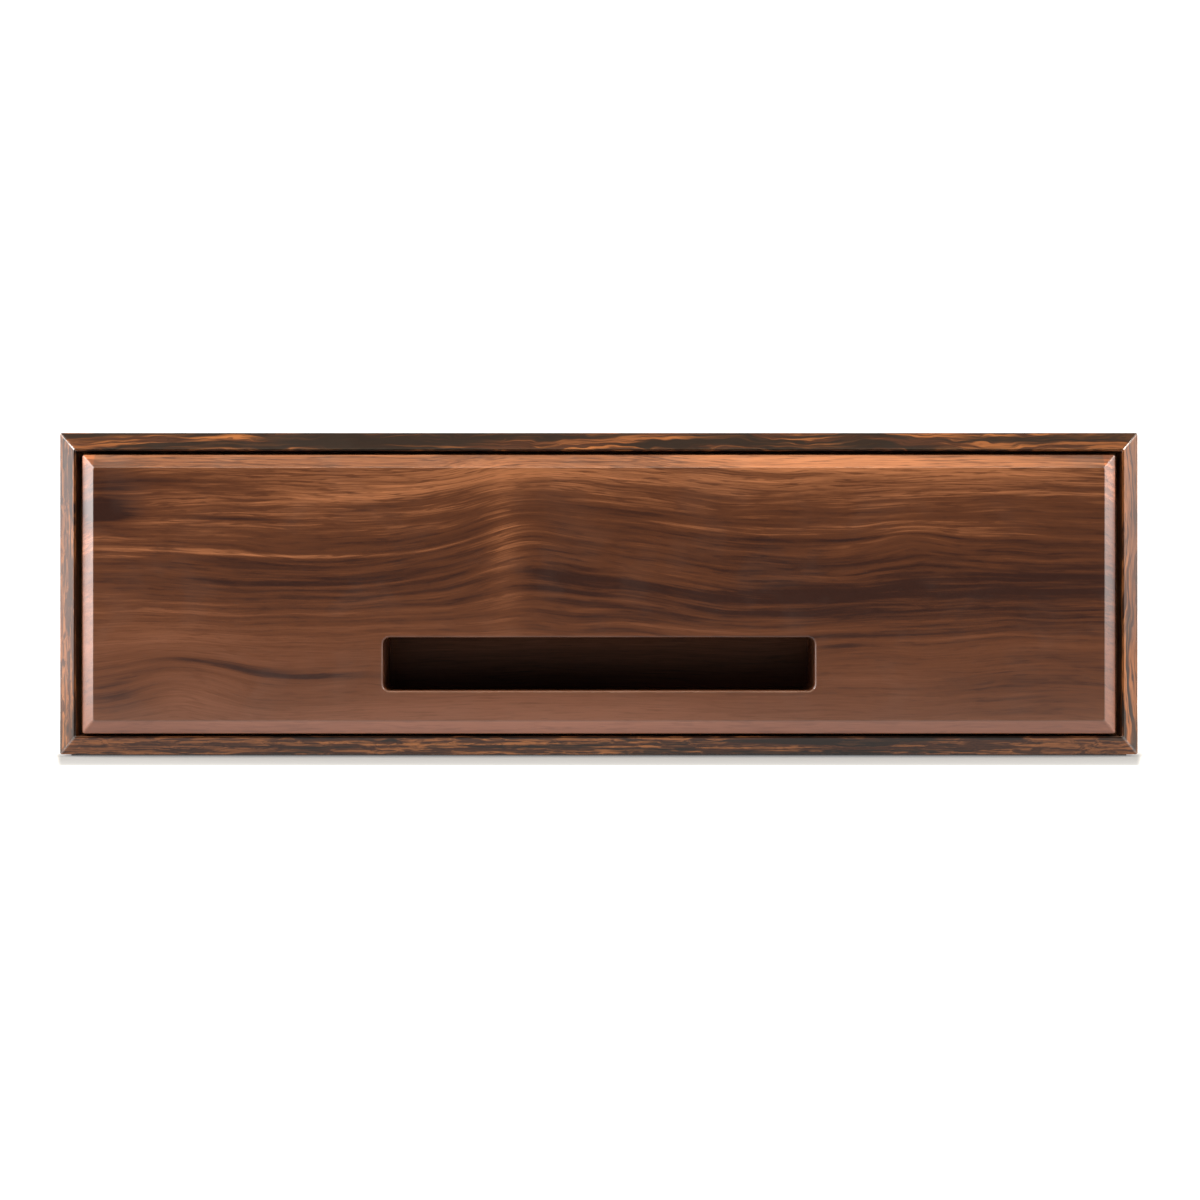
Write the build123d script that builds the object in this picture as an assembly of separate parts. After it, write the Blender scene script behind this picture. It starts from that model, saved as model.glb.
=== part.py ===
from build123d import *

import os

# A drawer humidor for cigars: a long, low box of glossy dark hardwood with one inset drawer.
#
# The case is four mitred boards whose front edges slope outward at 45 degrees, a rebated back and a
# cedar lining. The drawer has a thick walnut front that stands proud of the case by its chamfer, with a
# long finger slot, and a dovetailed cedar box behind it. An instrument deck behind the front carries the
# humidifier and the hygrometer, and two dividers slide along the drawer.
#
# Millimetres. +Z is up, the front faces -Y, and the origin is the middle of the base.

# Case: overall size and boards
case_width = 474.0
case_depth = 294.0
case_height = 142.2
wall = 8.4
front_flat = 0.9
arris_radius = 0.35
back_thickness = 6.0
back_rebate = 4.0
spline_width = 6.0
spline_thickness = 1.8
spline_stop = 12.0
spline_inset = 1.0
felt_thickness = 0.8
felt_inset = 4.0

# Case: cedar lining, seal, runners, stop and catches
lining = 6.5
seal_thickness = 0.9
seal_clearance = 0.1
runner_height = 12.0
runner_reach = 4.0
runner_housing = 2.0
runner_end_gap = 3.0
stop_rail_height = 7.0
stop_rail_width = 10.0
stop_rail_chamfer = 1.0
stop_clearance = 0.2
magnet_width = 20.0
magnet_height = 10.0
magnet_depth = 5.0
magnet_gap = 0.3
magnet_from_side = 62.0
strike_border = 2.0
strike_thickness = 1.5

# Drawer: the walnut front and its finger slot
front_thickness = 18.0
front_proud = 6.0
front_chamfer = 5.8
front_gap_side = 3.0
front_gap_top = 1.7
front_gap_bottom = 1.2
corner_radius = 1.0
slot_width = 187.9
slot_height = 23.3
slot_above_edge = 18.8
slot_corner = 3.0
slot_rim = 0.6
cup_depth = 22.0
cup_wall = 4.0
cup_play = 0.2
cup_radius = 2.0
hook_height = 13.0

# Drawer: the dovetailed box
side_thickness = 8.0
end_thickness = 8.0
side_gap = 0.8
bottom_gap = 1.0
top_gap = 9.0
rear_gap = 2.0
tail_count = 4
pin_tip = 6.0
pin_slope = 1.0 / 7.0
bottom_thickness = 4.0
bottom_raise = 3.0
groove_depth = 3.0
groove_play = 0.1
runner_play = 0.4
runner_tail = 2
drawer_travel = 200.0

# Drawer: instrument deck
deck_depth = 42.0
deck_thickness = 6.0
deck_drop = 12.4
deck_wall_thickness = 6.0
deck_wall_dado = 2.0
deck_wall_rise = 6.0
cleat = 6.0

# Drawer: sliding dividers
divider_thickness = 6.0
divider_play = 0.4
divider_floor_gap = 0.8
ear_length = 2.6
ear_height = 5.6
ear_groove_depth = 3.0
scoop_radius = 26.0
scoop_depth = 11.0
vent_slot_length = 36.0
vent_slot_width = 5.0
vent_slot_count = 3
vent_slot_pitch = 52.0

# Drawer: turn button that keeps it from being pulled right out
button_length = 30.0
button_width = 10.0
button_thickness = 4.0
button_drop = 9.0
button_gap = 0.1
brass_chamfer = 0.5
pivot_radius = 1.75
pivot_clearance = 0.05
pivot_head_radius = 3.6
pivot_head_thickness = 1.8
pivot_grip = 6.0

# Wood screws
screw_shank_radius = 1.6
screw_head_radius = 3.2
screw_head_height = 1.8
front_screw_length = 19.0

# Humidifier in the deck
humidifier_from_side = 22.6
humidifier_length = 200.0
humidifier_width = 34.0
humidifier_drop = 14.0
humidifier_wall = 1.5
humidifier_flange = 2.6
flange_thickness = 1.5
insert_play = 0.3
sponge_height = 7.5
sponge_corner = 1.0
cover_thickness = 1.6
plastic_chamfer = 0.5
skirt_depth = 5.0
skirt_thickness = 1.2
shutter_lip = 1.5
shutter_thickness = 1.0
shutter_play = 0.2
shutter_travel = 6.0
vent_pitch = 12.0
vent_width = 3.0
vent_length = 22.0
vent_from_end = 11.2
vent_from_knob = 21.0
knob_radius = 2.6
knob_height = 2.2
knob_stem_radius = 1.3
knob_from_end = 8.2

# Hygrometer in the deck
hygrometer_from_side = 82.6
bezel_radius = 20.0
bezel_height = 3.6
bezel_lip = 1.2
hygrometer_radius = 17.5
hygrometer_drop = 17.0
hygrometer_wall = 1.5
hygrometer_rise = 1.4
dial_shoulder = 0.6
dial_thickness = 0.6
dial_below_rim = 3.6
glass_thickness = 1.0
glass_play = 0.1
arbor_radius = 0.6
arbor_clearance = 0.05
collet_radius = 1.8
collet_height = 4.0
collet_below_dial = 3.0
needle_length = 12.5
needle_tail = 5.0
needle_thickness = 0.4
needle_width = 1.4
needle_tip = 0.3
needle_hub_radius = 1.7
needle_hub_height = 1.0
needle_above_dial = 0.5
needle_rest_angle = 54.0
coil_turns = 2
coil_pitch = 1.8
coil_ribbon = 0.3
coil_height = 3.0
coil_gap = 0.35
coil_post_radius = 0.8

# Places worked out from those sizes
y_field = -(case_depth + front_proud) / 2
y_front = y_field + front_proud
y_rear = y_front + case_depth
half_width = case_width / 2
opening_half = half_width - wall
opening_bottom = felt_thickness + wall
opening_top = case_height - wall
shell_height = case_height - felt_thickness
shell_middle = felt_thickness + shell_height / 2

y_front_rear = y_field + front_thickness
y_lining = y_front_rear + seal_clearance + seal_thickness
y_back = y_rear - back_thickness
y_back_lining = y_back - lining
lined_half = opening_half - lining
lined_bottom = opening_bottom + lining
lined_top = opening_top - lining

front_low = opening_bottom + front_gap_bottom
front_high = opening_top - front_gap_top
front_middle = (front_low + front_high) / 2
front_height = front_high - front_low
front_width = 2 * (opening_half - front_gap_side)
slot_low = front_low + slot_above_edge
slot_high = slot_low + slot_height

drawer_half = lined_half - side_gap
drawer_inner = drawer_half - side_thickness
drawer_low = lined_bottom + bottom_gap
drawer_high = lined_top - top_gap
drawer_height = drawer_high - drawer_low
y_inner_front = y_front_rear + end_thickness
y_drawer_rear = y_back_lining - rear_gap
y_drawer_back = y_drawer_rear - end_thickness
floor_low = drawer_low + bottom_raise
floor_high = floor_low + bottom_thickness

deck_high = drawer_high - deck_drop
deck_low = deck_high - deck_thickness
y_deck = y_inner_front + deck_depth / 2
y_deck_wall = y_inner_front + deck_depth
y_compartment = y_deck_wall + deck_wall_thickness
deck_wall_high = deck_high + deck_wall_rise

tail_pitch = drawer_height / tail_count
runner_middle = drawer_low + (runner_tail + 0.5) * tail_pitch
runner_low = runner_middle - runner_height / 2
runner_high = runner_middle + runner_height / 2

cup_high = slot_high + hook_height + cup_wall
screw_x = (drawer_inner + slot_width / 2 + cup_wall) / 2
screw_rows = ((slot_low + slot_high) / 2, (cup_high + deck_low) / 2)
catch_x = drawer_inner - magnet_from_side
catch_z = (drawer_low + drawer_high) / 2
divider_place = (drawer_inner + divider_thickness / 2) / 3

y_button_rear = y_drawer_back - button_gap
y_button_front = y_button_rear - button_thickness
button_height = drawer_high - button_drop

humidifier_place = humidifier_length / 2 + humidifier_from_side - drawer_inner
flange_high = deck_high + flange_thickness
cover_high = flange_high + cover_thickness
humidifier_floor = deck_high - humidifier_drop + humidifier_wall
cavity_length = humidifier_length - 2 * humidifier_wall
cavity_width = humidifier_width - 2 * humidifier_wall
shutter_length = cavity_length - 2 * insert_play - 2 * shutter_travel
knob_place = knob_from_end - shutter_length / 2
vent_last = shutter_length / 2 - vent_from_end
vent_gaps = int((vent_last - knob_place - vent_from_knob) / vent_pitch + 1e-6)

hygrometer_place = drawer_inner - hygrometer_from_side
hygrometer_rim = deck_high + hygrometer_rise
hygrometer_floor = deck_high - hygrometer_drop
dial_low = hygrometer_rim - dial_below_rim
dial_high = dial_low + dial_thickness
collet_high = dial_low - collet_below_dial


def slab(x, y, z):
    """A square-edged board between the (low, high) pairs x, y and z."""
    centre = [sum(pair) / 2 for pair in (x, y, z)]
    return Pos(*centre) * Box(x[1] - x[0], y[1] - y[0], z[1] - z[0])


def facing(y, x=0.0, z=0.0):
    """A plane that faces the front at depth y, with its own origin at x and z and its own Y along +Z."""
    return Plane((x, y, z), x_dir=(1, 0, 0), z_dir=(0, -1, 0))


def level(z, x=0.0, y=0.0):
    """A plane that faces up at height z, with its own origin at x and y."""
    return Plane((x, y, z))


def backward(sketch, depth):
    """Extrudes a sketch on a facing plane towards the back of the box."""
    return extrude(sketch, amount=-depth)


def edges_at(shape, y, axis=Axis.Y, tolerance=1e-4):
    """The edges of shape that lie wholly in the plane at y across axis."""
    return shape.edges().filter_by_position(axis, y - tolerance, y + tolerance)


def eased(outline, count):
    """An outline through these points as a face, with its first count corners rounded by the arris radius."""
    face = make_face(Polyline(*outline, close=True))
    corners = [Vector(*point) for point in outline[:count]]
    eased_ones = face.vertices().filter_by(lambda v: min((Vector(v) - c).length for c in corners) < 1e-6)
    return fillet(eased_ones, radius=arris_radius)


def wood_screw(length):
    """A cheese-headed wood screw along -Z, whose head stands on the origin."""
    head = extrude(level(0) * Circle(screw_head_radius), amount=screw_head_height)
    return head + extrude(level(-length) * Circle(screw_shank_radius), amount=length)


# Case boards and their joints


def moulded_strip(origin, outward, length):
    """A board before its ends are mitred. Its section runs back from the front and out through the wall."""
    slope = wall - front_flat
    section = eased([(0, 0), (0, front_flat), (slope, wall), (case_depth, wall), (case_depth, 0)], 3)
    plane = Plane(origin, x_dir=(0, 1, 0), z_dir=Vector(0, 1, 0).cross(Vector(*outward)))
    return extrude(plane * section, amount=length / 2, both=True)


def back_panel():
    """The back, let into a rebate in all four boards."""
    return slab(
        (-opening_half - back_rebate, opening_half + back_rebate),
        (y_back, y_rear),
        (opening_bottom - back_rebate, opening_top + back_rebate),
    )


def mitre_splines():
    """Four loose tongues, one glued across each mitre, square to the joint and stopped at both ends."""
    y_low, y_high = y_front + wall + spline_stop, y_back - spline_stop
    y_middle = (y_low + y_high) / 2
    reach = wall / 2 + spline_inset
    x = half_width - reach
    z = shell_height / 2 - reach
    tongue = Box(spline_width, y_high - y_low, spline_thickness)
    return [
        Pos(side * x, y_middle, shell_middle + end * z) * Rot(0, side * end * 45, 0) * tongue
        for side in (-1, 1)
        for end in (-1, 1)
    ]


def between_mitres(z, w):
    """The room of the board between its outer face at z and its inner face at w, as a prism."""
    outline = [(-half_width, z), (half_width, z), (opening_half, w), (-opening_half, w)]
    return backward(facing(y_front) * make_face(Polyline(*outline, close=True)), case_depth)


def case_boards():
    """Top, bottom, left and right boards, rebated for the back and slotted for the splines."""
    boards = {}
    for name, end, z, w in (
        ("case_bottom", -1, felt_thickness, opening_bottom),
        ("case_top", 1, case_height, opening_top),
    ):
        boards[name] = moulded_strip((0, y_front, w), (0, 0, end), case_width) & between_mitres(z, w)
    ends = [between_mitres(felt_thickness, opening_bottom), between_mitres(case_height, opening_top)]
    for name, side in (("case_left", -1), ("case_right", 1)):
        strip = moulded_strip((side * opening_half, y_front, shell_middle), (side, 0, 0), shell_height)
        boards[name] = strip - ends
    return {name: board - back_panel() - mitre_splines() for name, board in boards.items()}


def lining_boards():
    """Cedar boards inside the shell. Their front edges are the lip that the drawer closes against."""
    full_x = (-opening_half, opening_half)
    length = (y_lining, y_back_lining)
    boards = {
        "lining_bottom": slab(full_x, length, (opening_bottom, lined_bottom)),
        "lining_top": slab(full_x, length, (lined_top, opening_top)),
        "lining_left": slab((-opening_half, -lined_half), length, (lined_bottom, lined_top)),
        "lining_right": slab((lined_half, opening_half), length, (lined_bottom, lined_top)),
        "lining_back": slab(full_x, (y_back_lining, y_back), (opening_bottom, opening_top)),
    }
    boards["lining_back"] -= catch_magnets()
    boards["lining_left"] -= runner(-1)
    boards["lining_right"] -= runner(1)
    return boards


def front_seal():
    """A soft ring on the lining's front edge, which the closed drawer front meets."""
    plane = facing(y_lining - seal_thickness, z=(opening_bottom + opening_top) / 2)
    outer = Rectangle(2 * opening_half, opening_top - opening_bottom)
    inner = Rectangle(2 * lined_half, lined_top - lined_bottom)
    return backward(plane * (outer - inner), seal_thickness)


def runner(side):
    """A hardwood strip housed in the side lining, which carries the drawer by the groove in its side."""
    x = sorted((side * (lined_half + runner_housing), side * (lined_half - runner_reach)))
    return slab(x, (y_lining + runner_end_gap, y_back_lining - runner_end_gap), (runner_low, runner_high))


def stop_rail():
    """A cedar strip under the top lining that meets the turn button at full travel."""
    y_high = y_button_front - drawer_travel - stop_clearance
    y = (y_high - stop_rail_width, y_high)
    strip = slab((-lined_half, lined_half), y, (lined_top - stop_rail_height, lined_top))
    lower = strip.edges().filter_by(Axis.X).group_by(Axis.Z)[0]
    return chamfer(lower, length=stop_rail_chamfer)


def catch_bars(y, border, depth):
    """Two flat bars from depth y back, as large as a magnet and its border, where the drawer is caught."""
    outline = Rectangle(magnet_width + 2 * border, magnet_height + 2 * border)
    return [backward(facing(y, side * catch_x, catch_z) * outline, depth) for side in (-1, 1)]


def catch_magnets():
    """Two bar magnets let into the back lining."""
    return catch_bars(y_drawer_rear + magnet_gap, 0, magnet_depth)


def base_felt():
    """One sheet of felt under the bottom board."""
    return slab(
        (-half_width + felt_inset, half_width - felt_inset),
        (y_front + wall + felt_inset, y_rear - felt_inset),
        (0, felt_thickness),
    )


# Drawer front and pull


def slot_outline(y, grow_up=0.0):
    """The finger slot's outline at depth y, with rounded corners, and grow_up taller behind the lip."""
    height = slot_height + grow_up
    return facing(y, z=slot_low + height / 2) * RectangleRounded(slot_width, height, slot_corner)


def bevelled_plate(span):
    """The section of the front, bevelled at both ends of its span, drawn across and back."""
    half = span / 2
    nose = half - front_chamfer
    front = [(-half, front_chamfer), (-nose, 0), (nose, 0), (half, front_chamfer)]
    return eased(front + [(half, front_thickness), (-half, front_thickness)], 4)


def drawer_front():
    """The thick walnut front: bevelled all round, with a finger slot cut through near its lower edge."""
    from_above = Plane((0, y_field, front_middle), x_dir=(1, 0, 0), z_dir=(0, 0, 1))
    from_side = Plane((0, y_field, front_middle), x_dir=(0, 0, 1), z_dir=(-1, 0, 0))
    plate = extrude(from_above * bevelled_plate(front_width), amount=front_height / 2, both=True)
    bevel_blank = Pos(0, front_chamfer / 2) * Rectangle(front_height + 2, front_chamfer + 2)
    bevel_waste = bevel_blank - bevelled_plate(front_height)
    plate -= extrude(from_side * bevel_waste, amount=front_width / 2 + 1, both=True)
    outline = facing(y_field, z=front_middle) * RectangleRounded(front_width, front_height, corner_radius)
    plate &= backward(outline, front_thickness)
    cut = plate - backward(slot_outline(y_field - 1), front_thickness + 2)
    rim = edges_at(cut, y_field).filter_by(
        lambda e: abs(e.center().X) < slot_width / 2 + 1 and slot_low - 1 < e.center().Z < slot_high + 1
    )
    return chamfer(rim, length=slot_rim) - front_screws()


def cup_block(grow=0.0):
    """The outside of the pull cup, grown all round by grow."""
    half = slot_width / 2 + cup_wall + grow
    return slab(
        (-half, half),
        (y_front_rear, y_front_rear + cup_depth + cup_wall + grow),
        (slot_low - cup_wall - grow, cup_high + grow),
    )


def pull_cup():
    """A pocket routed from one block, glued behind the slot. Fingers hook up behind the slot's lip."""
    block = cup_block()
    rear_edges = block.faces().sort_by(Axis.Y)[-1].edges()
    block = fillet(rear_edges, radius=cup_radius)
    return block - backward(slot_outline(y_front_rear, hook_height), cup_depth)


def front_screws():
    """Screws from inside the drawer box into the walnut front, their heads on the inner front."""
    screw = Rot(-90, 0, 0) * wood_screw(front_screw_length)
    return [Pos(side * screw_x, y_inner_front, z) * screw for side in (-1, 1) for z in screw_rows]


# Drawer box


def dovetail_pins(side, y_end, y_shoulder):
    """The pins of one corner as prisms through the side: narrow at the board's end, wide at its shoulder."""
    reach = abs(y_end - y_shoulder) * pin_slope
    tip, root = pin_tip / 2, pin_tip / 2 + reach
    x = sorted((side * drawer_inner, side * drawer_half))
    plane = Plane((x[0], 0, 0), x_dir=(0, 1, 0), z_dir=(1, 0, 0))
    pins = []
    for n in range(tail_count + 1):
        z = drawer_low + n * tail_pitch
        floor, ceiling = drawer_low - z, drawer_high - z
        end = [(y_end, z + max(-tip, floor)), (y_end, z + min(tip, ceiling))]
        shoulder = [(y_shoulder, z + min(root, ceiling)), (y_shoulder, z + max(-root, floor))]
        outline = Polyline(*end, *shoulder, close=True)
        pins.append(extrude(plane * make_face(outline), amount=side_thickness))
    return pins


def drawer_floor(play=0.0):
    """The drawer's bottom board, or the groove for it where play is given."""
    reach = groove_depth - groove_play + play
    return slab(
        (-drawer_inner - reach, drawer_inner + reach),
        (y_inner_front - reach, y_drawer_back + reach),
        (floor_low, floor_high),
    )


def ear_groove(y_low, y_high, z_high):
    """The room for the dividers' ears along one board, from the deck's height up to z_high."""
    return slab((-drawer_inner, drawer_inner), (y_low, y_high), (deck_high, z_high))


def drawer_side(side):
    """A cedar side with its tails, the groove that rides on the runner, the floor's groove and a dado."""
    x = sorted((side * drawer_inner, side * drawer_half))
    board = slab(x, (y_front_rear, y_drawer_rear), (drawer_low, drawer_high))
    depth = runner_reach - side_gap + runner_play
    groove_x = sorted((side * drawer_half, side * (drawer_half - depth)))
    groove = slab(groove_x, (y_front_rear, y_drawer_rear), (runner_low - runner_play, runner_high))
    front_pins = dovetail_pins(side, y_front_rear, y_inner_front)
    rear_pins = dovetail_pins(side, y_drawer_rear, y_drawer_back)
    return board - groove - front_pins - rear_pins - drawer_floor(groove_play) - deck_wall()


def pinned_end(y_end, y_shoulder):
    """A board across the drawer with dovetail pins at both ends."""
    board = slab((-drawer_inner, drawer_inner), sorted((y_end, y_shoulder)), (drawer_low, drawer_high))
    for side in (-1, 1):
        board += dovetail_pins(side, y_end, y_shoulder)
    return board


def drawer_inner_front():
    """The box's own front board, cut out round the pull cup."""
    board = pinned_end(y_front_rear, y_inner_front) - cup_block(cup_play)
    return board - drawer_floor(groove_play) - front_screws()


def drawer_back():
    """The box's back board, with the groove that the dividers' rear ears run in."""
    board = pinned_end(y_drawer_rear, y_drawer_back) - drawer_floor(groove_play)
    groove_high = deck_high + ear_height + divider_play
    board -= ear_groove(y_drawer_back, y_drawer_back + ear_groove_depth, groove_high)
    return board - strike_plates() - pivot_screw()


def strike_plates():
    """Two steel plates let in flush at the back, opposite the magnets."""
    return catch_bars(y_drawer_rear - strike_thickness, strike_border, strike_thickness)


def deck_wall():
    """The cedar wall behind the instruments. Its top rear edge is rebated for the dividers' front ears."""
    half = drawer_inner + deck_wall_dado
    board = slab((-half, half), (y_deck_wall, y_compartment), (floor_high, deck_wall_high))
    return board - ear_groove(y_compartment - ear_groove_depth, y_compartment, deck_wall_high)


def instrument_deck():
    """The level cedar board that holds the humidifier and the hygrometer."""
    board = slab((-drawer_inner, drawer_inner), (y_inner_front, y_deck_wall), (deck_low, deck_high))
    well_size = (humidifier_length + 2 * insert_play, humidifier_width + 2 * insert_play)
    well = level(deck_low, humidifier_place, y_deck) * Rectangle(*well_size)
    hole = level(deck_low, hygrometer_place, y_deck) * Circle(hygrometer_radius + insert_play)
    return board - extrude(well, amount=deck_thickness) - extrude(hole, amount=deck_thickness)


def deck_cleats():
    """Two short cleats under the ends of the deck."""
    cleats = []
    for side in (-1, 1):
        x = sorted((side * drawer_inner, side * (drawer_inner - cleat)))
        cleats.append(slab(x, (y_inner_front, y_deck_wall), (deck_low - cleat, deck_low)))
    return cleats


# Sliding dividers


def divider(x):
    """A divider whose ears hang in the deck wall's rebate and the back's groove, with vents and a scoop."""
    y_low, y_high = y_compartment + divider_play, y_drawer_back - divider_play
    ear_high = deck_high + ear_height
    y_ear_low = y_compartment - ear_length
    y_ear_high = y_drawer_back + ear_length
    floor = floor_high + divider_floor_gap
    outline = make_face(
        Polyline(
            (y_low, floor),
            (y_high, floor),
            (y_high, deck_high),
            (y_ear_high, deck_high),
            (y_ear_high, ear_high),
            (y_ear_low, ear_high),
            (y_ear_low, deck_high),
            (y_low, deck_high),
            close=True,
        )
    )
    middle = (y_low + y_high) / 2
    outline -= Pos(middle, ear_high + scoop_radius - scoop_depth) * Circle(scoop_radius)
    vents = Sketch() + GridLocations(vent_slot_pitch, 1, vent_slot_count, 1) * SlotOverall(
        vent_slot_length, vent_slot_width
    )
    outline -= Pos(middle, (floor + deck_high) / 2) * vents
    plane = Plane((x - divider_thickness / 2, 0, 0), x_dir=(0, 1, 0), z_dir=(1, 0, 0))
    return extrude(plane * outline, amount=divider_thickness)


# Turn button


def stop_button():
    """An oblong brass button that stands above the drawer back, and turns level to let the drawer out."""
    plane = facing(y_button_front, z=button_height)
    outline = Rot(0, 0, 90) * SlotOverall(button_length, button_width)
    outline -= Circle(pivot_radius + pivot_clearance)
    button = backward(plane * outline, button_thickness)
    return chamfer(button.faces().sort_by(Axis.Y)[0].outer_wire().edges(), length=brass_chamfer)


def pivot_screw():
    """The round-headed screw that the button turns on."""
    neck = button_thickness + 2 * button_gap
    head = Circle(pivot_head_radius)
    plane = facing(y_drawer_back - neck, z=button_height)
    shank = backward(plane * Circle(pivot_radius), neck + pivot_grip)
    cap = extrude(plane * head, amount=pivot_head_thickness)
    cap = chamfer(cap.faces().sort_by(Axis.Y)[0].edges(), length=brass_chamfer)
    return shank + cap


# Humidifier


def humidifier_case():
    """The open tray that drops into the deck and hangs there by its flange."""
    body = RectangleRounded(humidifier_length, humidifier_width, humidifier_wall)
    foot = level(deck_high - humidifier_drop, humidifier_place, y_deck)
    rim = level(deck_high, humidifier_place, y_deck)
    floor = level(humidifier_floor, humidifier_place, y_deck)
    tray = extrude(foot * body, amount=humidifier_drop)
    tray += extrude(rim * flange_outline(), amount=flange_thickness)
    cavity = floor * Rectangle(cavity_length, cavity_width)
    return tray - extrude(cavity, amount=flange_high - humidifier_floor)


def flange_outline():
    """The outline that the tray's flange and the cover share."""
    length = humidifier_length + 2 * humidifier_flange
    width = humidifier_width + 2 * humidifier_flange
    return RectangleRounded(length, width, humidifier_flange)


def humidifier_sponge():
    """The water-holding block in the bottom of the tray."""
    outline = RectangleRounded(cavity_length - 2 * insert_play, cavity_width - 2 * insert_play, sponge_corner)
    return extrude(level(humidifier_floor, humidifier_place, y_deck) * outline, amount=sponge_height)


def vent_slots():
    """The row of vents that the cover and the shutter share, one pitch apart."""
    row = GridLocations(vent_pitch, 1, vent_gaps + 1, 1) * Rectangle(vent_width, vent_length)
    return Pos(vent_last - vent_gaps * vent_pitch / 2, 0) * (Sketch() + row)


def humidifier_cover():
    """The slotted cover: a plate with two skirts inside the tray, whose lips hold the shutter up."""
    top = level(flange_high, humidifier_place, y_deck)
    slot_half = knob_stem_radius + shutter_play
    knob_slot = SlotOverall(shutter_travel + 2 * slot_half, 2 * slot_half)
    knob_slot = Pos(knob_place + shutter_travel / 2, 0) * knob_slot
    plate = extrude(top * (flange_outline() - vent_slots() - knob_slot), amount=cover_thickness)
    plate = chamfer(plate.faces().sort_by(Axis.Z)[-1].outer_wire().edges(), length=plastic_chamfer)
    outer = cavity_width / 2 - insert_play
    inner = outer - skirt_thickness
    lip_high = -(shutter_thickness + shutter_play)
    leg = make_face(
        Polyline(
            (outer, 0),
            (inner, 0),
            (inner, lip_high),
            (inner - shutter_lip, lip_high),
            (inner - shutter_lip, lip_high - shutter_thickness),
            (inner, lip_high - shutter_thickness),
            (inner, -skirt_depth),
            (outer, -skirt_depth),
            close=True,
        )
    )
    length = cavity_length - 2 * insert_play
    end_plane = Plane((humidifier_place - length / 2, y_deck, flange_high), x_dir=(0, 1, 0), z_dir=(1, 0, 0))
    legs = extrude(end_plane * (leg + mirror(leg, Plane.YZ)), amount=length)
    return plate + legs


def humidifier_shutter():
    """The slotted slide under the cover, with the knob that moves it."""
    width = cavity_width - 2 * (insert_play + skirt_thickness + shutter_play)
    low = flange_high - shutter_play - shutter_thickness
    outline = Rectangle(shutter_length, width) - vent_slots()
    plate = extrude(level(low, humidifier_place, y_deck) * outline, amount=shutter_thickness)
    stem_height = cover_high - low
    knob_base = level(low, humidifier_place + knob_place, y_deck)
    stem = extrude(knob_base * Circle(knob_stem_radius), amount=stem_height + knob_height / 2)
    cap_plane = level(cover_high + shutter_play, humidifier_place + knob_place, y_deck)
    cap = extrude(cap_plane * Circle(knob_radius), amount=knob_height)
    cap = chamfer(cap.faces().sort_by(Axis.Z)[-1].edges(), length=plastic_chamfer)
    return plate + stem + cap


# Hygrometer


def turned(points):
    """A turned part about the hygrometer's axis, from (radius, height) points of its half section."""
    section = Plane.XZ * make_face(Polyline(*points, close=True))
    return Pos(hygrometer_place, y_deck, 0) * revolve(section, axis=Axis.Z)


def hygrometer_case():
    """The brass cup: a shoulder for the dial, a bearing hole in its floor, and the coil's post."""
    bore = arbor_radius + arbor_clearance
    inner = hygrometer_radius - hygrometer_wall
    floor_top = hygrometer_floor + 2 * hygrometer_wall
    cup = turned(
        [
            (0, hygrometer_floor),
            (hygrometer_radius, hygrometer_floor),
            (hygrometer_radius, hygrometer_rim),
            (inner + dial_shoulder, hygrometer_rim),
            (inner + dial_shoulder, dial_low),
            (inner, dial_low),
            (inner, floor_top),
            (bore, floor_top),
            (bore, hygrometer_floor + hygrometer_wall),
            (0, hygrometer_floor + hygrometer_wall),
        ]
    )
    x, y = coil_end()
    post = extrude(
        level(floor_top, hygrometer_place + x, y_deck + y) * Circle(coil_post_radius),
        amount=collet_high - floor_top,
    )
    return cup + post


def coil_end():
    """Where the coil's post stands: just outside the ribbon's last turn, on the coil's own X axis."""
    radius = coil_start() + coil_turns * coil_pitch
    return radius + coil_ribbon / 2 + coil_post_radius, 0.0


def coil_start():
    """The radius of the ribbon's first turn, clear of the collet."""
    return collet_radius + coil_gap + coil_ribbon / 2


def half_turns(offset):
    """The spiral as half circles, each half a pitch wider than the last, moved out by offset."""
    arcs = []
    start = coil_start()
    for n in range(2 * coil_turns):
        radius = start + coil_pitch * (n + 0.5) / 2 + offset
        centre = (coil_pitch / 4) * (-1 if n % 2 == 0 else 1)
        arcs.append(Pos(centre, 0) * CenterArc((0, 0), radius, 180 * (n % 2), 180))
    return arcs


def humidity_coil():
    """The flat spiral of moisture-sensitive ribbon, held by its post, that drives the arbor's collet."""
    outer = half_turns(coil_ribbon / 2)
    inner = half_turns(-coil_ribbon / 2)
    ends = [Line(inner[0] @ 0, outer[0] @ 0), Line(inner[-1] @ 1, outer[-1] @ 1)]
    ribbon = make_face(outer + inner + ends)
    plane = level(collet_high - coil_height, hygrometer_place, y_deck)
    return extrude(plane * ribbon, amount=coil_height)


def hygrometer_dial():
    """The plain dial plate, on the cup's shoulder."""
    radius = hygrometer_radius - hygrometer_wall + dial_shoulder
    hole = arbor_radius + arbor_clearance
    return turned([(hole, dial_low), (radius, dial_low), (radius, dial_high), (hole, dial_high)])


def hygrometer_glass():
    """The flat glass on the cup's rim."""
    radius = hygrometer_radius - glass_play
    low, high = hygrometer_rim, hygrometer_rim + glass_thickness
    return turned([(0, low), (radius, low), (radius, high), (0, high)])


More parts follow.
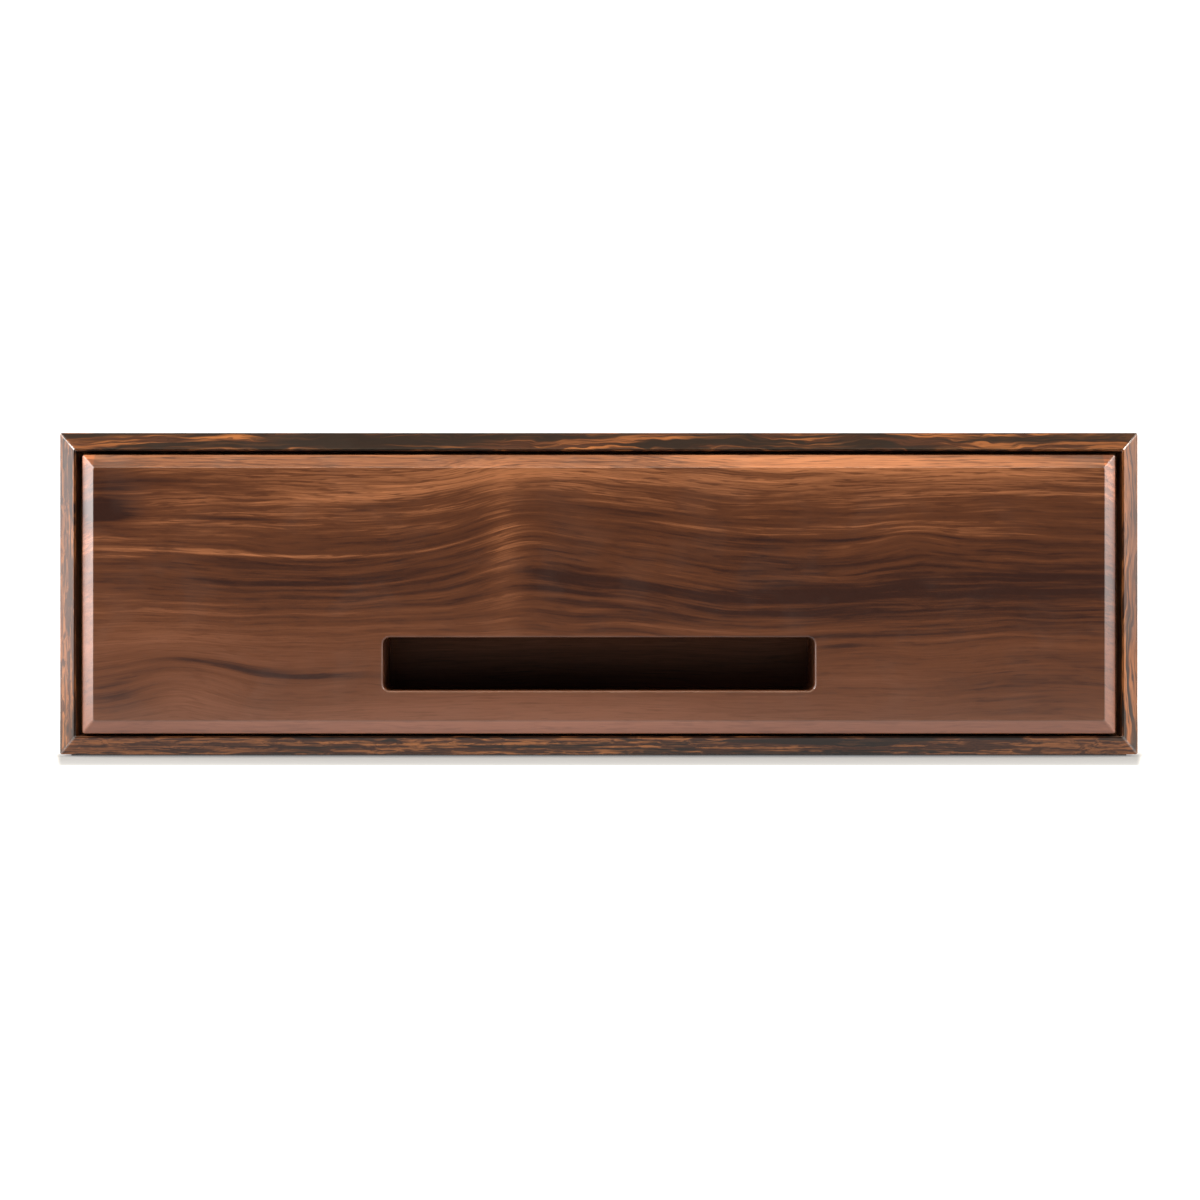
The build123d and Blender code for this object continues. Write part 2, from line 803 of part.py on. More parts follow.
def hygrometer_bezel():
    """The polished ring that rests on the deck and holds the glass down with its lip."""
    lip_inside = hygrometer_radius - hygrometer_wall - bezel_lip
    glass_top = hygrometer_rim + glass_thickness
    return turned(
        [
            (lip_inside, glass_top),
            (hygrometer_radius, glass_top),
            (hygrometer_radius, deck_high),
            (bezel_radius, deck_high),
            (bezel_radius, deck_high + bezel_height),
            (lip_inside, deck_high + bezel_height),
        ]
    )


def hygrometer_arbor():
    """The thin shaft under the needle, with the collet that the coil grips."""
    foot = hygrometer_floor + hygrometer_wall
    tip = dial_high + needle_above_dial + needle_hub_height
    return turned(
        [
            (0, foot),
            (arbor_radius, foot),
            (arbor_radius, collet_high - collet_height),
            (collet_radius, collet_high - collet_height),
            (collet_radius, collet_high),
            (arbor_radius, collet_high),
            (arbor_radius, tip),
            (0, tip),
        ]
    )


def hygrometer_needle():
    """The pointer and its hub, pressed on the arbor. The rest angle is clockwise from the rear."""
    low = dial_high + needle_above_dial
    blade = Polyline(
        (-needle_width / 2, -needle_tail),
        (needle_width / 2, -needle_tail),
        (needle_width / 2, 0),
        (needle_tip / 2, needle_length),
        (-needle_tip / 2, needle_length),
        (-needle_width / 2, 0),
        close=True,
    )
    plane = level(low, hygrometer_place, y_deck)
    pointer = extrude(plane * (Rot(0, 0, -needle_rest_angle) * make_face(blade)), amount=needle_thickness)
    hub = extrude(plane * Circle(needle_hub_radius), amount=needle_hub_height)
    bore = extrude(plane * Circle(arbor_radius), amount=needle_hub_height)
    return pointer + hub - bore


def all_nodes():
    """Every node of the humidor by name. A list is a group of separate solids."""
    nodes = {}
    nodes.update(case_boards())
    nodes["case_back"] = back_panel()
    nodes["mitre_splines"] = mitre_splines()
    nodes.update(lining_boards())
    nodes["front_seal"] = front_seal()
    nodes["runner_left"] = runner(-1)
    nodes["runner_right"] = runner(1)
    nodes["stop_rail"] = stop_rail()
    nodes["catch_magnets"] = catch_magnets()
    nodes["base_felt"] = base_felt()

    nodes["drawer_front"] = drawer_front()
    nodes["pull_cup"] = pull_cup()
    nodes["drawer_inner_front"] = drawer_inner_front()
    nodes["drawer_side_left"] = drawer_side(-1)
    nodes["drawer_side_right"] = drawer_side(1)
    nodes["drawer_back"] = drawer_back()
    nodes["drawer_bottom"] = drawer_floor()
    nodes["deck_wall"] = deck_wall()
    nodes["instrument_deck"] = instrument_deck()
    nodes["deck_cleats"] = deck_cleats()
    nodes["front_screws"] = front_screws()
    nodes["strike_plates"] = strike_plates()
    nodes["pivot_screw"] = pivot_screw()
    nodes["stop_button"] = stop_button()
    nodes["divider_left"] = divider(-divider_place)
    nodes["divider_right"] = divider(divider_place)

    nodes["humidifier_case"] = humidifier_case()
    nodes["humidifier_sponge"] = humidifier_sponge()
    nodes["humidifier_cover"] = humidifier_cover()
    nodes["humidifier_shutter"] = humidifier_shutter()
    nodes["hygrometer_case"] = hygrometer_case()
    nodes["humidity_coil"] = humidity_coil()
    nodes["hygrometer_dial"] = hygrometer_dial()
    nodes["hygrometer_arbor"] = hygrometer_arbor()
    nodes["hygrometer_needle"] = hygrometer_needle()
    nodes["hygrometer_glass"] = hygrometer_glass()
    nodes["hygrometer_bezel"] = hygrometer_bezel()
    return nodes


def main():
    os.makedirs("parts", exist_ok=True)
    for name, shape in all_nodes().items():
        solids = shape if isinstance(shape, list) else [shape]
        export_step(Compound(children=[s for part in solids for s in part.solids()]), f"parts/{name}.step")


main()
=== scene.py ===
# %% [markdown]
# # A cigar humidor with one drawer
#
# The construction of the box is a CAD model: every board, screw and magnet is already there at its real
# size, and this notebook never moves it. What is made here is the look of the thing: wood with its grain,
# the lacquer, the light, and new surfaces where a board needs softer edges than its plain solid has.
#
# Lengths in Blender are in metres. Woodwork is easier to think about in millimetres, so most values below
# are in millimetres and are multiplied by `MM` at the last moment.

# %% Load the frame
import math

import bmesh
import bpy
import numpy as np
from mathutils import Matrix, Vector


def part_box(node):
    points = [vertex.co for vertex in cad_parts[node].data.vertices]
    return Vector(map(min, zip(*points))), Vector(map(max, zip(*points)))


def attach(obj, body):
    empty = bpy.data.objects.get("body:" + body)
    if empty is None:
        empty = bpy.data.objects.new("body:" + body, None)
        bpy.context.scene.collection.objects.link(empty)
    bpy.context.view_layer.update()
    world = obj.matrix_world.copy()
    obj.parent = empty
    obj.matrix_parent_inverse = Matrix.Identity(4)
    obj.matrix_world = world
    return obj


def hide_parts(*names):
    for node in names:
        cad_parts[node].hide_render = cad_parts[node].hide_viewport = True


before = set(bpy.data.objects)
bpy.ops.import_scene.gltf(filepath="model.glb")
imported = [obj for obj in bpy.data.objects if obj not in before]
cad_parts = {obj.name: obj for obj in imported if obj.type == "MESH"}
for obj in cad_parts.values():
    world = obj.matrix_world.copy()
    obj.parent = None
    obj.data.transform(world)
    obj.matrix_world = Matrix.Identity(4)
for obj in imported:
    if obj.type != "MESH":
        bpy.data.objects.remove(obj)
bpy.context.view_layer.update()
scene = bpy.context.scene
MM = 0.001

# %% [markdown]
# ## The camera
#
# The photograph is taken straight from the front with a long lens: the box shows no top and no sides. A
# camera does not need an aim here, only a quarter turn about X, because Blender's cameras look down -Z
# until they are turned.

# %% Camera
CAMERA_PLACE = (0.0005, -1.280, 0.0687)
SENSOR_MM = 36.0
LENS_MM = 78.0
camera = bpy.data.objects.new("camera", bpy.data.cameras.new("camera"))
scene.collection.objects.link(camera)
camera.location = CAMERA_PLACE
camera.rotation_euler = (math.pi / 2, 0, 0)
camera.data.sensor_width = SENSOR_MM
camera.data.lens = LENS_MM
scene.camera = camera
scene.view_settings.view_transform = "Standard"
print("camera stands", round(-camera.location.y, 3), "m in front of the middle of the box")

# %% [markdown]
# ## Where things are, read from the frame
#
# Every place that is used below comes from these boxes, so the looks follow the construction by
# themselves.


# %% Measures
def box_mm(node):
    """Lowest and highest corner of a node, in millimetres."""
    low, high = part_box(node)
    return np.array(low) / MM, np.array(high) / MM


top_low, top_high = box_mm("case_top")
_, bottom_high = box_mm("case_bottom")
front_low, front_high = box_mm("drawer_front")
_, cup_high = box_mm("pull_cup")
wall = top_high[2] - top_low[2]
y_field, y_front_rear = front_low[1], front_high[1]
half_width = top_high[0]
opening_half = half_width - wall
y_front, y_rear = top_low[1], top_high[1]
print("wall", round(float(wall), 2), "opening", round(float(2 * opening_half), 1), "mm wide")

# %% [markdown]
# ## Building meshes from arrays
#
# A surface with two directions, like a bent sheet of squared paper, is a grid of points. `numpy` works out
# all the points at once, and the faces between them are always numbered the same way. That is quicker than
# adding vertices one by one, and the formula of the shape stays visible in one line.


# %% Faces of a grid
def grid_quads(rows, columns, wrap_rows=False, wrap_columns=False):
    """Four-sided faces of a grid whose point (i, j) is number i * columns + j. Wrapping joins the ends."""
    i = np.arange(rows if wrap_rows else rows - 1)
    j = np.arange(columns if wrap_columns else columns - 1)
    i, j = np.meshgrid(i, j, indexing="ij")
    i_next, j_next = (i + 1) % rows, (j + 1) % columns
    corners = [i * columns + j, i * columns + j_next, i_next * columns + j_next, i_next * columns + j]
    return np.stack(corners, axis=-1).reshape(-1, 4)


print("a grid of 3 x 4 points:", len(grid_quads(3, 4)), "faces, and wrapped both ways:",
      len(grid_quads(3, 4, wrap_rows=True, wrap_columns=True)))


# %% Pieces on their bodies
def new_piece(name, points_mm, faces, body, slot, stands_for=(), sharp=30):
    """A shaded mesh object from points in millimetres, riding on a body and standing for CAD nodes."""
    mesh = bpy.data.meshes.new(name)
    mesh.from_pydata((np.asarray(points_mm, float) * MM).tolist(), [], [list(map(int, f)) for f in faces])
    mesh.update()
    piece = bpy.data.objects.new(name, mesh)
    scene.collection.objects.link(piece)
    finish_piece(piece, body, stands_for, sharp)
    return piece


def finish_piece(piece, body, stands_for=(), sharp=30):
    """Smooth shading that breaks at edges sharper than an angle, then the calls that tie the piece in."""
    piece.data.shade_smooth()
    piece.data.set_sharp_from_angle(angle=math.radians(sharp))
    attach(piece, body)
    if stands_for:
        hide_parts(*stands_for)


print("CAD nodes that a piece can stand for:", len(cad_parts))


# %% Rounded outlines
def rounded_corners(corners, radii, steps=4, support=0.3):
    """A closed outline whose corners are rounded. Each corner is cut back by radius times the tangent of
    half its turn and joined by an arc. One more point on each side keeps the flat parts flat in shading."""
    corners, radii = np.asarray(corners, float), np.asarray(radii, float)[:, None]
    into = corners - np.roll(corners, 1, axis=0)
    out = np.roll(corners, -1, axis=0) - corners
    into /= np.linalg.norm(into, axis=1, keepdims=True)
    out /= np.linalg.norm(out, axis=1, keepdims=True)
    turn = np.arctan2(into[:, 0] * out[:, 1] - into[:, 1] * out[:, 0], (into * out).sum(axis=1))
    start = corners - into * radii * np.tan(np.abs(turn) / 2)[:, None]
    side = np.sign(turn)[:, None]
    inward = np.stack([-into[:, 1], into[:, 0]], axis=1) * side
    angle = np.abs(turn)[:, None] * np.linspace(0, 1, steps + 1)
    reach = radii * np.sin(angle)
    sag = radii * (1 - np.cos(angle))
    arc = start[:, None] + into[:, None] * reach[..., None] + inward[:, None] * sag[..., None]
    before = arc[:, :1] - into[:, None] * support
    after = arc[:, -1:] + out[:, None] * support
    return np.concatenate([before, arc, after], axis=1).reshape(-1, 2)


def smooth_max(a, b, width):
    """The larger of a and b, with a rounded change-over where they are less than width apart."""
    overlap = np.maximum(width - np.abs(a - b), 0)
    return np.maximum(a, b) + overlap**2 / (4 * width)


square = [(0, 0), (9, 0), (9, 9), (0, 9)]
print("points on a square with rounded corners:", len(rounded_corners(square, [1] * 4)))
print("smooth maximum of 1 and 1 over a width of 0.4:", smooth_max(1.0, 1.0, 0.4))

# %% [markdown]
# ## The case boards
#
# The case is four boards, mitred like a picture frame, and their front edges slope away from the drawer.
# Where two slopes meet, the real box has a hip that is rubbed soft, and it catches the light as a thin
# bright line. A sharp CAD edge can't do that, because it has no surface to shine.
#
# A bevel modifier could soften the edge, but it would also open the glued mitre. So each board is a
# profile carried along the board, and its front is pushed back by one formula: the depth at any point is
# the larger of the two slopes there, with a rounded change-over. Both boards use the same formula, so
# their surfaces meet exactly at the mitre.

# %% Section of a case board
ARRIS = 0.35
SLOPE_START = 0.9
REBATE_CORNER = 0.1
back_low, back_high = box_mm("case_back")
rebate = back_high[0] - opening_half


def board_section():
    """The board's section as (outward, back) points: inner face, front flat, slope, outer face, rebate."""
    depth = y_rear - y_front
    rebate_depth = back_low[1] - y_front
    corners = [(0, 0), (SLOPE_START, 0), (wall, wall - SLOPE_START), (wall, depth), (rebate, depth),
               (rebate, rebate_depth), (0, rebate_depth)]
    return rounded_corners(corners, [ARRIS] * 4 + [REBATE_CORNER] * 3)


print("points on a board's section:", len(board_section()))

# %% Skin of a case board
HIP_WIDTH = 1.5
OUTER_CORNER = 0.9
END_STEPS = np.array([0, 0.15, 0.3, 0.5, 0.7, 0.9, 1.2, 1.5, 2.0, 3.0, 12.0])


def board_points(half_opening):
    """Points of one board as (along, outward, back). Stations crowd near the mitres, where the formula
    rounds the hip and pulls the outer corner onto a small circle."""
    section = board_section()
    ends = half_opening + section[None, :, 0] - END_STEPS[:, None]
    along = np.concatenate([ends, -ends[::-1]])
    outward = np.broadcast_to(section[:, 0], along.shape)
    back = np.broadcast_to(section[:, 1], along.shape)
    beyond = np.abs(along) - half_opening
    back = np.maximum(back, smooth_max(outward - SLOPE_START, beyond - SLOPE_START, HIP_WIDTH))
    inset = wall - OUTER_CORNER
    reach = np.hypot(np.maximum(outward - inset, 0), np.maximum(beyond - inset, 0))
    both = (outward > inset) & (beyond > inset) & (reach > OUTER_CORNER)
    shrink = OUTER_CORNER / np.maximum(reach, OUTER_CORNER)
    along = np.where(both, np.sign(along) * (half_opening + inset + (beyond - inset) * shrink), along)
    outward = np.where(both, inset + (outward - inset) * shrink, outward)
    return np.stack([along, outward, back], axis=-1)


print("stations along a board and points round it:", board_points(opening_half).shape[:2])

# %% Case boards
opening_middle = (top_low[2] + bottom_high[2]) / 2
opening_high_half = (top_low[2] - bottom_high[2]) / 2


def placed_board(side, points):
    """Carries (along, outward, back) into the case. Along is X on the top and bottom, and Z on the sides."""
    along, outward, back = np.moveaxis(points, -1, 0)
    depth = y_front + back
    return np.stack({
        "top": (along, depth, top_low[2] + outward),
        "bottom": (along, depth, bottom_high[2] - outward),
        "left": (-opening_half - outward, depth, opening_middle + along),
        "right": (opening_half + outward, depth, opening_middle + along),
    }[side], axis=-1)


def case_board(side, half_opening):
    """A closed board: the grid of its skin and a flat cap on each mitre. Two of the four places mirror the
    board, and there the corners of every face are listed the other way round."""
    points = placed_board(side, board_points(half_opening))
    rows, columns = points.shape[:2]
    first = list(range(columns))
    last = list(range((rows - 1) * columns, rows * columns))
    faces = [*grid_quads(rows, columns, wrap_columns=True).tolist(), first[::-1], last]
    if side in ("bottom", "right"):
        faces = [face[::-1] for face in faces]
    name = "veneered_case_" + side
    return new_piece(name, points.reshape(-1, 3), faces, "case", "case_wood", ["case_" + side])


half_openings = {"top": opening_half, "bottom": opening_half, "left": opening_high_half,
                 "right": opening_high_half}
case_boards = {side: case_board(side, half) for side, half in half_openings.items()}
print("case boards:", {side: len(board.data.polygons) for side, board in case_boards.items()})

# %% [markdown]
# ## The drawer front
#
# The walnut front is one thick board with a bevel all round and a long slot cut through it. Seen as
# topology it is a picture frame, which is a ring: walk once around it and you are back where you began,
# and walk over its section and you are back too. So it is a grid that is wrapped both ways. One direction
# runs round the slot, the other over the section from the slot's edge to the bevel and home along the back.
#
# Every line of that grid is a rounded rectangle, and only its size, its corner and its depth change.

# %% Rounded rectangles
CORNER_STEPS = 7
SIDE_STEPS = 10


def rounded_rectangles(half_x, half_z, radius):
    """One closed line per size: four quarter circles round the corners, joined by evenly divided sides."""
    half_x, half_z, radius = (np.asarray(v, float)[:, None, None] for v in (half_x, half_z, radius))
    quarter = np.array([0, 1, 2, 3])[None, :, None]
    angle = (quarter + np.linspace(0, 1, CORNER_STEPS + 1)[None, None, :]) * math.pi / 2
    sign_x = np.array([1, -1, -1, 1])[None, :, None]
    sign_z = np.array([1, 1, -1, -1])[None, :, None]
    x = sign_x * (half_x - radius) + radius * np.cos(angle)
    z = sign_z * (half_z - radius) + radius * np.sin(angle)
    corners = np.stack([x, z], axis=-1)
    following = np.roll(corners[:, :, :1], -1, axis=1)
    share = (np.arange(1, SIDE_STEPS) / SIDE_STEPS)[None, None, :, None]
    sides = corners[:, :, -1:] * (1 - share) + following * share
    return np.concatenate([corners, sides], axis=2).reshape(len(corners), -1, 2)


print("points on a rounded rectangle:", rounded_rectangles([20], [10], [3]).shape[1])

# %% Drawer front
SLOT_HEIGHT = 23.3
SLOT_ABOVE_EDGE = 18.8
SLOT_CORNER = 3.0
CUP_BEYOND_SLOT = 4.0
RIM = 0.6
RIM_ARRIS = 0.12
REAR_ARRIS = 0.3
BEVEL = 5.8
SOFT_EDGE = 0.5
FRONT_CORNER = 1.0
FIELD_STEPS = np.array([0.25, 0.5, 0.75])
FAR = 40
slot_half = np.array([cup_high[0] - CUP_BEYOND_SLOT, SLOT_HEIGHT / 2])
slot_middle = front_low[2] + SLOT_ABOVE_EDGE + slot_half[1]
front_half = np.array([front_high[0], (front_high[2] - front_low[2]) / 2])
front_middle = (front_low[2] + front_high[2]) / 2


def drawer_front_points():
    """The section is two rounded outlines: (away from the slot, depth) round the rim, and (in from the
    edge, depth) over the bevel and the side. Each is drawn closed, reaching far into the wood, and only its
    corners at the surface are kept. Field and back are straight blends between the two."""
    rim = rounded_corners(
        [(0, y_front_rear), (0, y_field + RIM), (RIM, y_field), (FAR, y_field), (FAR, y_front_rear)],
        [REAR_ARRIS, RIM_ARRIS, RIM_ARRIS, 1, 1], steps=3, support=0.1)
    rim = rim.reshape(5, -1, 2)[:3].reshape(-1, 2)
    edge = rounded_corners(
        [(FAR, y_field), (BEVEL, y_field), (0, y_field + BEVEL), (0, y_front_rear), (FAR, y_front_rear)],
        [SOFT_EDGE] * 5, steps=5)
    edge = edge.reshape(5, -1, 2)[1:4].reshape(-1, 2)
    away = rim[:, 0]
    slot_rings = rounded_rectangles(slot_half[0] + away, slot_half[1] + away, SLOT_CORNER + away)
    slot_rings[..., 1] += slot_middle
    edge_rings = rounded_rectangles(front_half[0] - edge[:, 0], front_half[1] - edge[:, 0],
                                    np.full(len(edge), FRONT_CORNER))
    edge_rings[..., 1] += front_middle
    across = FIELD_STEPS[:, None, None]
    field = slot_rings[-1] * (1 - across) + edge_rings[0] * across
    rings = np.concatenate([slot_rings, field, edge_rings])
    depth = np.concatenate([rim[:, 1], np.full(len(FIELD_STEPS), y_field), edge[:, 1]])
    depth = np.broadcast_to(depth[:, None], rings.shape[:2])
    return np.stack([rings[..., 0], depth, rings[..., 1]], axis=-1)


points = drawer_front_points()
quads = grid_quads(*points.shape[:2], wrap_rows=True, wrap_columns=True)
walnut_front = new_piece("walnut_front", points.reshape(-1, 3), quads[:, ::-1], "drawer", "walnut",
                         ["drawer_front"])
print("drawer front:", len(walnut_front.data.polygons), "faces")

# %% [markdown]
# ## Building materials with code
#
# A material is a small network of nodes. Written out line by line it soon hides what it means, so these
# helpers each add one node and hand back the socket that carries its result. A value can be a number or
# another socket, and the formula reads from the inside out.


# %% Formulas and noise
def plug(tree, socket, value):
    """Puts a number, a colour or another node's output into a socket."""
    if isinstance(value, bpy.types.NodeSocket):
        tree.links.new(value, socket)
    else:
        socket.default_value = value


def calc(tree, operation, *values):
    """One Math node."""
    node = tree.nodes.new("ShaderNodeMath")
    node.operation = operation
    for socket, value in zip(node.inputs, values):
        plug(tree, socket, value)
    return node.outputs[0]


def step_between(tree, value, low, high, out_low=0.0, out_high=1.0):
    """A soft switch from out_low to out_high while value goes from low to high."""
    node = tree.nodes.new("ShaderNodeMapRange")
    node.interpolation_type = "SMOOTHSTEP"
    for name, given in (("Value", value), ("From Min", low), ("From Max", high),
                        ("To Min", out_low), ("To Max", out_high)):
        plug(tree, node.inputs[name], given)
    return node.outputs["Result"]


def vector(tree, x, y, z):
    """Three values as one vector."""
    node = tree.nodes.new("ShaderNodeCombineXYZ")
    for socket, value in zip(node.inputs, (x, y, z)):
        plug(tree, socket, value)
    return node.outputs[0]


def noise(tree, place, detail=2.0, roughness=0.5, distortion=0.0):
    """Noise from 0 to 1 at a place that is already stretched to the wanted scale."""
    node = tree.nodes.new("ShaderNodeTexNoise")
    for name, given in (("Vector", place), ("Scale", 1.0), ("Detail", detail), ("Roughness", roughness),
                        ("Distortion", distortion)):
        plug(tree, node.inputs[name], given)
    return node.outputs["Fac"]


trial = bpy.data.node_groups.new("trial", "ShaderNodeTree")
step_between(trial, noise(trial, vector(trial, 0, 0, calc(trial, "ADD", 1, 2))), 0.3, 0.7)
print("nodes of a soft switch on noise:", [node.bl_label for node in trial.nodes])
bpy.data.node_groups.remove(trial)


# %% Colours, dents and places
def blend(tree, share, first, second, kind="MIX"):
    """Mixes two colours."""
    node = tree.nodes.new("ShaderNodeMix")
    node.data_type = "RGBA"
    node.blend_type = kind
    plug(tree, node.inputs[0], share)
    plug(tree, node.inputs[6], first)
    plug(tree, node.inputs[7], second)
    return node.outputs[2]


def bump(tree, height, distance, strength=1.0):
    """A Bump node, with its distance in metres."""
    node = tree.nodes.new("ShaderNodeBump")
    node.inputs["Strength"].default_value = strength
    node.inputs["Distance"].default_value = distance
    plug(tree, node.inputs["Height"], height)
    return node.outputs[0]


def place_mm(tree):
    """The point on the object as separate X, Y and Z in millimetres."""
    coordinates = tree.nodes.new("ShaderNodeTexCoord")
    scale = tree.nodes.new("ShaderNodeVectorMath")
    scale.operation = "SCALE"
    scale.inputs["Scale"].default_value = 1 / MM
    tree.links.new(coordinates.outputs["Object"], scale.inputs[0])
    split = tree.nodes.new("ShaderNodeSeparateXYZ")
    tree.links.new(scale.outputs[0], split.inputs[0])
    return dict(zip("XYZ", split.outputs))


trial = bpy.data.node_groups.new("trial", "ShaderNodeTree")
print("a place in millimetres has", sorted(place_mm(trial)), "from", len(trial.nodes), "nodes")
bpy.data.node_groups.remove(trial)


# %% Groups and materials
def new_group(name, inputs, outputs):
    """An empty node group. Inputs are name: value, and outputs are names."""
    tree = bpy.data.node_groups.new(name, "ShaderNodeTree")
    for label, value in inputs.items():
        socket = tree.interface.new_socket(label, in_out="INPUT", socket_type="NodeSocketFloat")
        socket.default_value = value
    for label in outputs:
        tree.interface.new_socket(label, in_out="OUTPUT", socket_type="NodeSocketFloat")
    return tree, tree.nodes.new("NodeGroupInput").outputs, tree.nodes.new("NodeGroupOutput").inputs


def use_group(tree, group, **values):
    """Places a group. Underscores in a keyword stand for spaces in the socket's name."""
    node = tree.nodes.new("ShaderNodeGroup")
    node.node_tree = group
    for name, value in values.items():
        plug(tree, node.inputs[name.replace("_", " ").capitalize()], value)
    return node.outputs


def new_material(name):
    """A material with its Principled shader, and the tree that holds it."""
    material = bpy.data.materials.new(name)
    material.use_nodes = True
    return material, material.node_tree, material.node_tree.nodes["Principled BSDF"]


print("groups before the first one is made:", len(bpy.data.node_groups))

# %% [markdown]
# ## Wood is a stack of rings
#
# A board is a slice through growth rings. Near the edge of a tree the slice cuts them as long parallel
# lines, and where the log bent or a branch grew, the lines swing round in hills and valleys. So the
# grain here is painted in two steps. First comes a ring height: how far out from the heart each point
# lies. Hills push the rings about. Then every pattern, broad bands and hair lines alike, is noise read
# along that height, so that all of them bend together as they do in a tree.

# %% Group: hill
hill_group, given, made = new_group(
    "Hill", {"Along": 0, "Across": 0, "Middle along": 0, "Middle across": 0, "Half length": 10,
             "Half width": 10, "Height": 1}, ["Height"])
tree = hill_group


def squared_share(place, middle, half):
    """How far a point lies from the middle, counted in half sizes, and squared."""
    away = calc(hill_group, "SUBTRACT", place, middle)
    share = calc(hill_group, "DIVIDE", away, half)
    return calc(hill_group, "MULTIPLY", share, share)


run = squared_share(given["Along"], given["Middle along"], given["Half length"])
rise = squared_share(given["Across"], given["Middle across"], given["Half width"])
fall = calc(tree, "EXPONENT", calc(tree, "MULTIPLY", calc(tree, "ADD", run, rise), -1.0))
plug(tree, made["Height"], calc(tree, "MULTIPLY", fall, given["Height"]))
print(tree.name, "group:", len(tree.nodes), "nodes")

# %% Group: growth rings
SWAY_HEIGHT = 9.0
ring_group, given, made = new_group(
    "Growth rings", {"Along": 0, "Ring": 0, "Depth": 0, "Band width": 10, "Line width": 2, "Start": 0},
    ["Band", "Ripple", "Line", "Dash", "Fibre"])
tree = ring_group
along = calc(tree, "ADD", given["Along"], given["Start"])
depth = given["Depth"]


def read_rings(ring, width, along_scale, depth_scale, detail=2.0, roughness=0.5):
    """Noise along the rings: slow in the direction of the grain, one feature per width across it."""
    place = vector(ring_group, calc(ring_group, "MULTIPLY", along, along_scale),
                   calc(ring_group, "DIVIDE", ring, width), calc(ring_group, "MULTIPLY", depth, depth_scale))
    return noise(ring_group, place, detail, roughness)


sway = read_rings(given["Ring"], width=33.0, along_scale=0.012, depth_scale=0.02)
ring = calc(tree, "MULTIPLY_ADD", calc(tree, "SUBTRACT", sway, 0.5), SWAY_HEIGHT, given["Ring"])
band = read_rings(ring, given["Band width"], along_scale=0.005, depth_scale=0.05)
plug(tree, made["Band"], step_between(tree, band, 0.30, 0.70))
ripple = read_rings(ring, given["Line width"], along_scale=0.011, depth_scale=0.12, detail=3.0, roughness=0.6)
plug(tree, made["Ripple"], step_between(tree, ripple, 0.28, 0.72))
line_width = calc(tree, "MULTIPLY", given["Line width"], 1.7)
line = read_rings(ring, line_width, along_scale=0.009, depth_scale=0.1, detail=1.0)
ridge = calc(tree, "ABSOLUTE", calc(tree, "SUBTRACT", line, 0.5))
plug(tree, made["Line"], step_between(tree, ridge, 0.0, 0.03, 1.0, 0.0))
dash_width = calc(tree, "MULTIPLY", given["Line width"], 0.42)
dash = read_rings(ring, dash_width, along_scale=0.07, depth_scale=0.5, roughness=0.6)
plug(tree, made["Dash"], step_between(tree, dash, 0.53, 0.66))
fibre = read_rings(ring, width=0.55, along_scale=0.05, depth_scale=2.0, detail=3.0, roughness=0.65)
plug(tree, made["Fibre"], fibre)
print(tree.name, "group:", len(tree.nodes), "nodes")

# %% Group: open pores
pore_group, given, made = new_group(
    "Open pores", {"Along": 0, "Across": 0, "Depth": 0, "Length": 6, "Width": 0.25, "Amount": 0.4}, ["Pore"])
tree = pore_group
place = vector(tree, calc(tree, "DIVIDE", given["Along"], given["Length"]),
               calc(tree, "DIVIDE", given["Across"], given["Width"]),
               calc(tree, "DIVIDE", given["Depth"], given["Width"]))
specks = noise(tree, place, detail=1.0)
edge = calc(tree, "SUBTRACT", 0.86, calc(tree, "MULTIPLY", given["Amount"], 0.3))
plug(tree, made["Pore"], step_between(tree, specks, edge, calc(tree, "ADD", edge, 0.08)))
print(tree.name, "group:", len(tree.nodes), "nodes")

# %% Group: ink streaks
SWAY_ACROSS = 16.0
SWAY_IN_DEPTH = 11.0
BROAD_CONTRAST = 0.45
ink_group, given, made = new_group(
    "Ink streaks", {"Along": 0, "Across": 0, "Depth": 0, "Darker": 0, "Streak width": 5},
    ["Ink", "Lens", "Hair"])
tree = ink_group
stretch = {"Along": 0.02, "Across": 0.05, "Depth": 0.05}
place = vector(tree, *(calc(tree, "MULTIPLY", given[way], share) for way, share in stretch.items()))
warp = calc(tree, "SUBTRACT", noise(tree, place, detail=3.0, roughness=0.6), 0.5)
swayed = calc(tree, "MULTIPLY_ADD", warp, SWAY_ACROSS, given["Across"])
sunk = calc(tree, "MULTIPLY_ADD", warp, SWAY_IN_DEPTH, given["Depth"])


def read_streaks(width, along_scale, detail=3.0, roughness=0.55):
    """Noise along the swaying streaks: one feature per width across them."""
    place = vector(ink_group, calc(ink_group, "MULTIPLY", given["Along"], along_scale),
                   calc(ink_group, "DIVIDE", swayed, width), calc(ink_group, "DIVIDE", sunk, width))
    return noise(ink_group, place, detail, roughness)


broad_width = calc(tree, "MULTIPLY", given["Streak width"], 5.0)
broad = read_streaks(broad_width, along_scale=0.0035, detail=2.0, roughness=0.5)
darker = calc(tree, "MULTIPLY_ADD", calc(tree, "SUBTRACT", broad, 0.5), BROAD_CONTRAST, given["Darker"])
streak = read_streaks(given["Streak width"], along_scale=0.011)
level = calc(tree, "SUBTRACT", 0.54, darker)
plug(tree, made["Ink"], step_between(tree, streak, level, calc(tree, "ADD", level, 0.10)))
lens_width = calc(tree, "MULTIPLY", given["Streak width"], 0.42)
lens = read_streaks(lens_width, along_scale=0.025)
level = calc(tree, "MULTIPLY_ADD", darker, -0.6, 0.42)
plug(tree, made["Lens"], step_between(tree, lens, level, calc(tree, "ADD", level, 0.16)))
hair = read_streaks(1.3, along_scale=0.022, roughness=0.6)
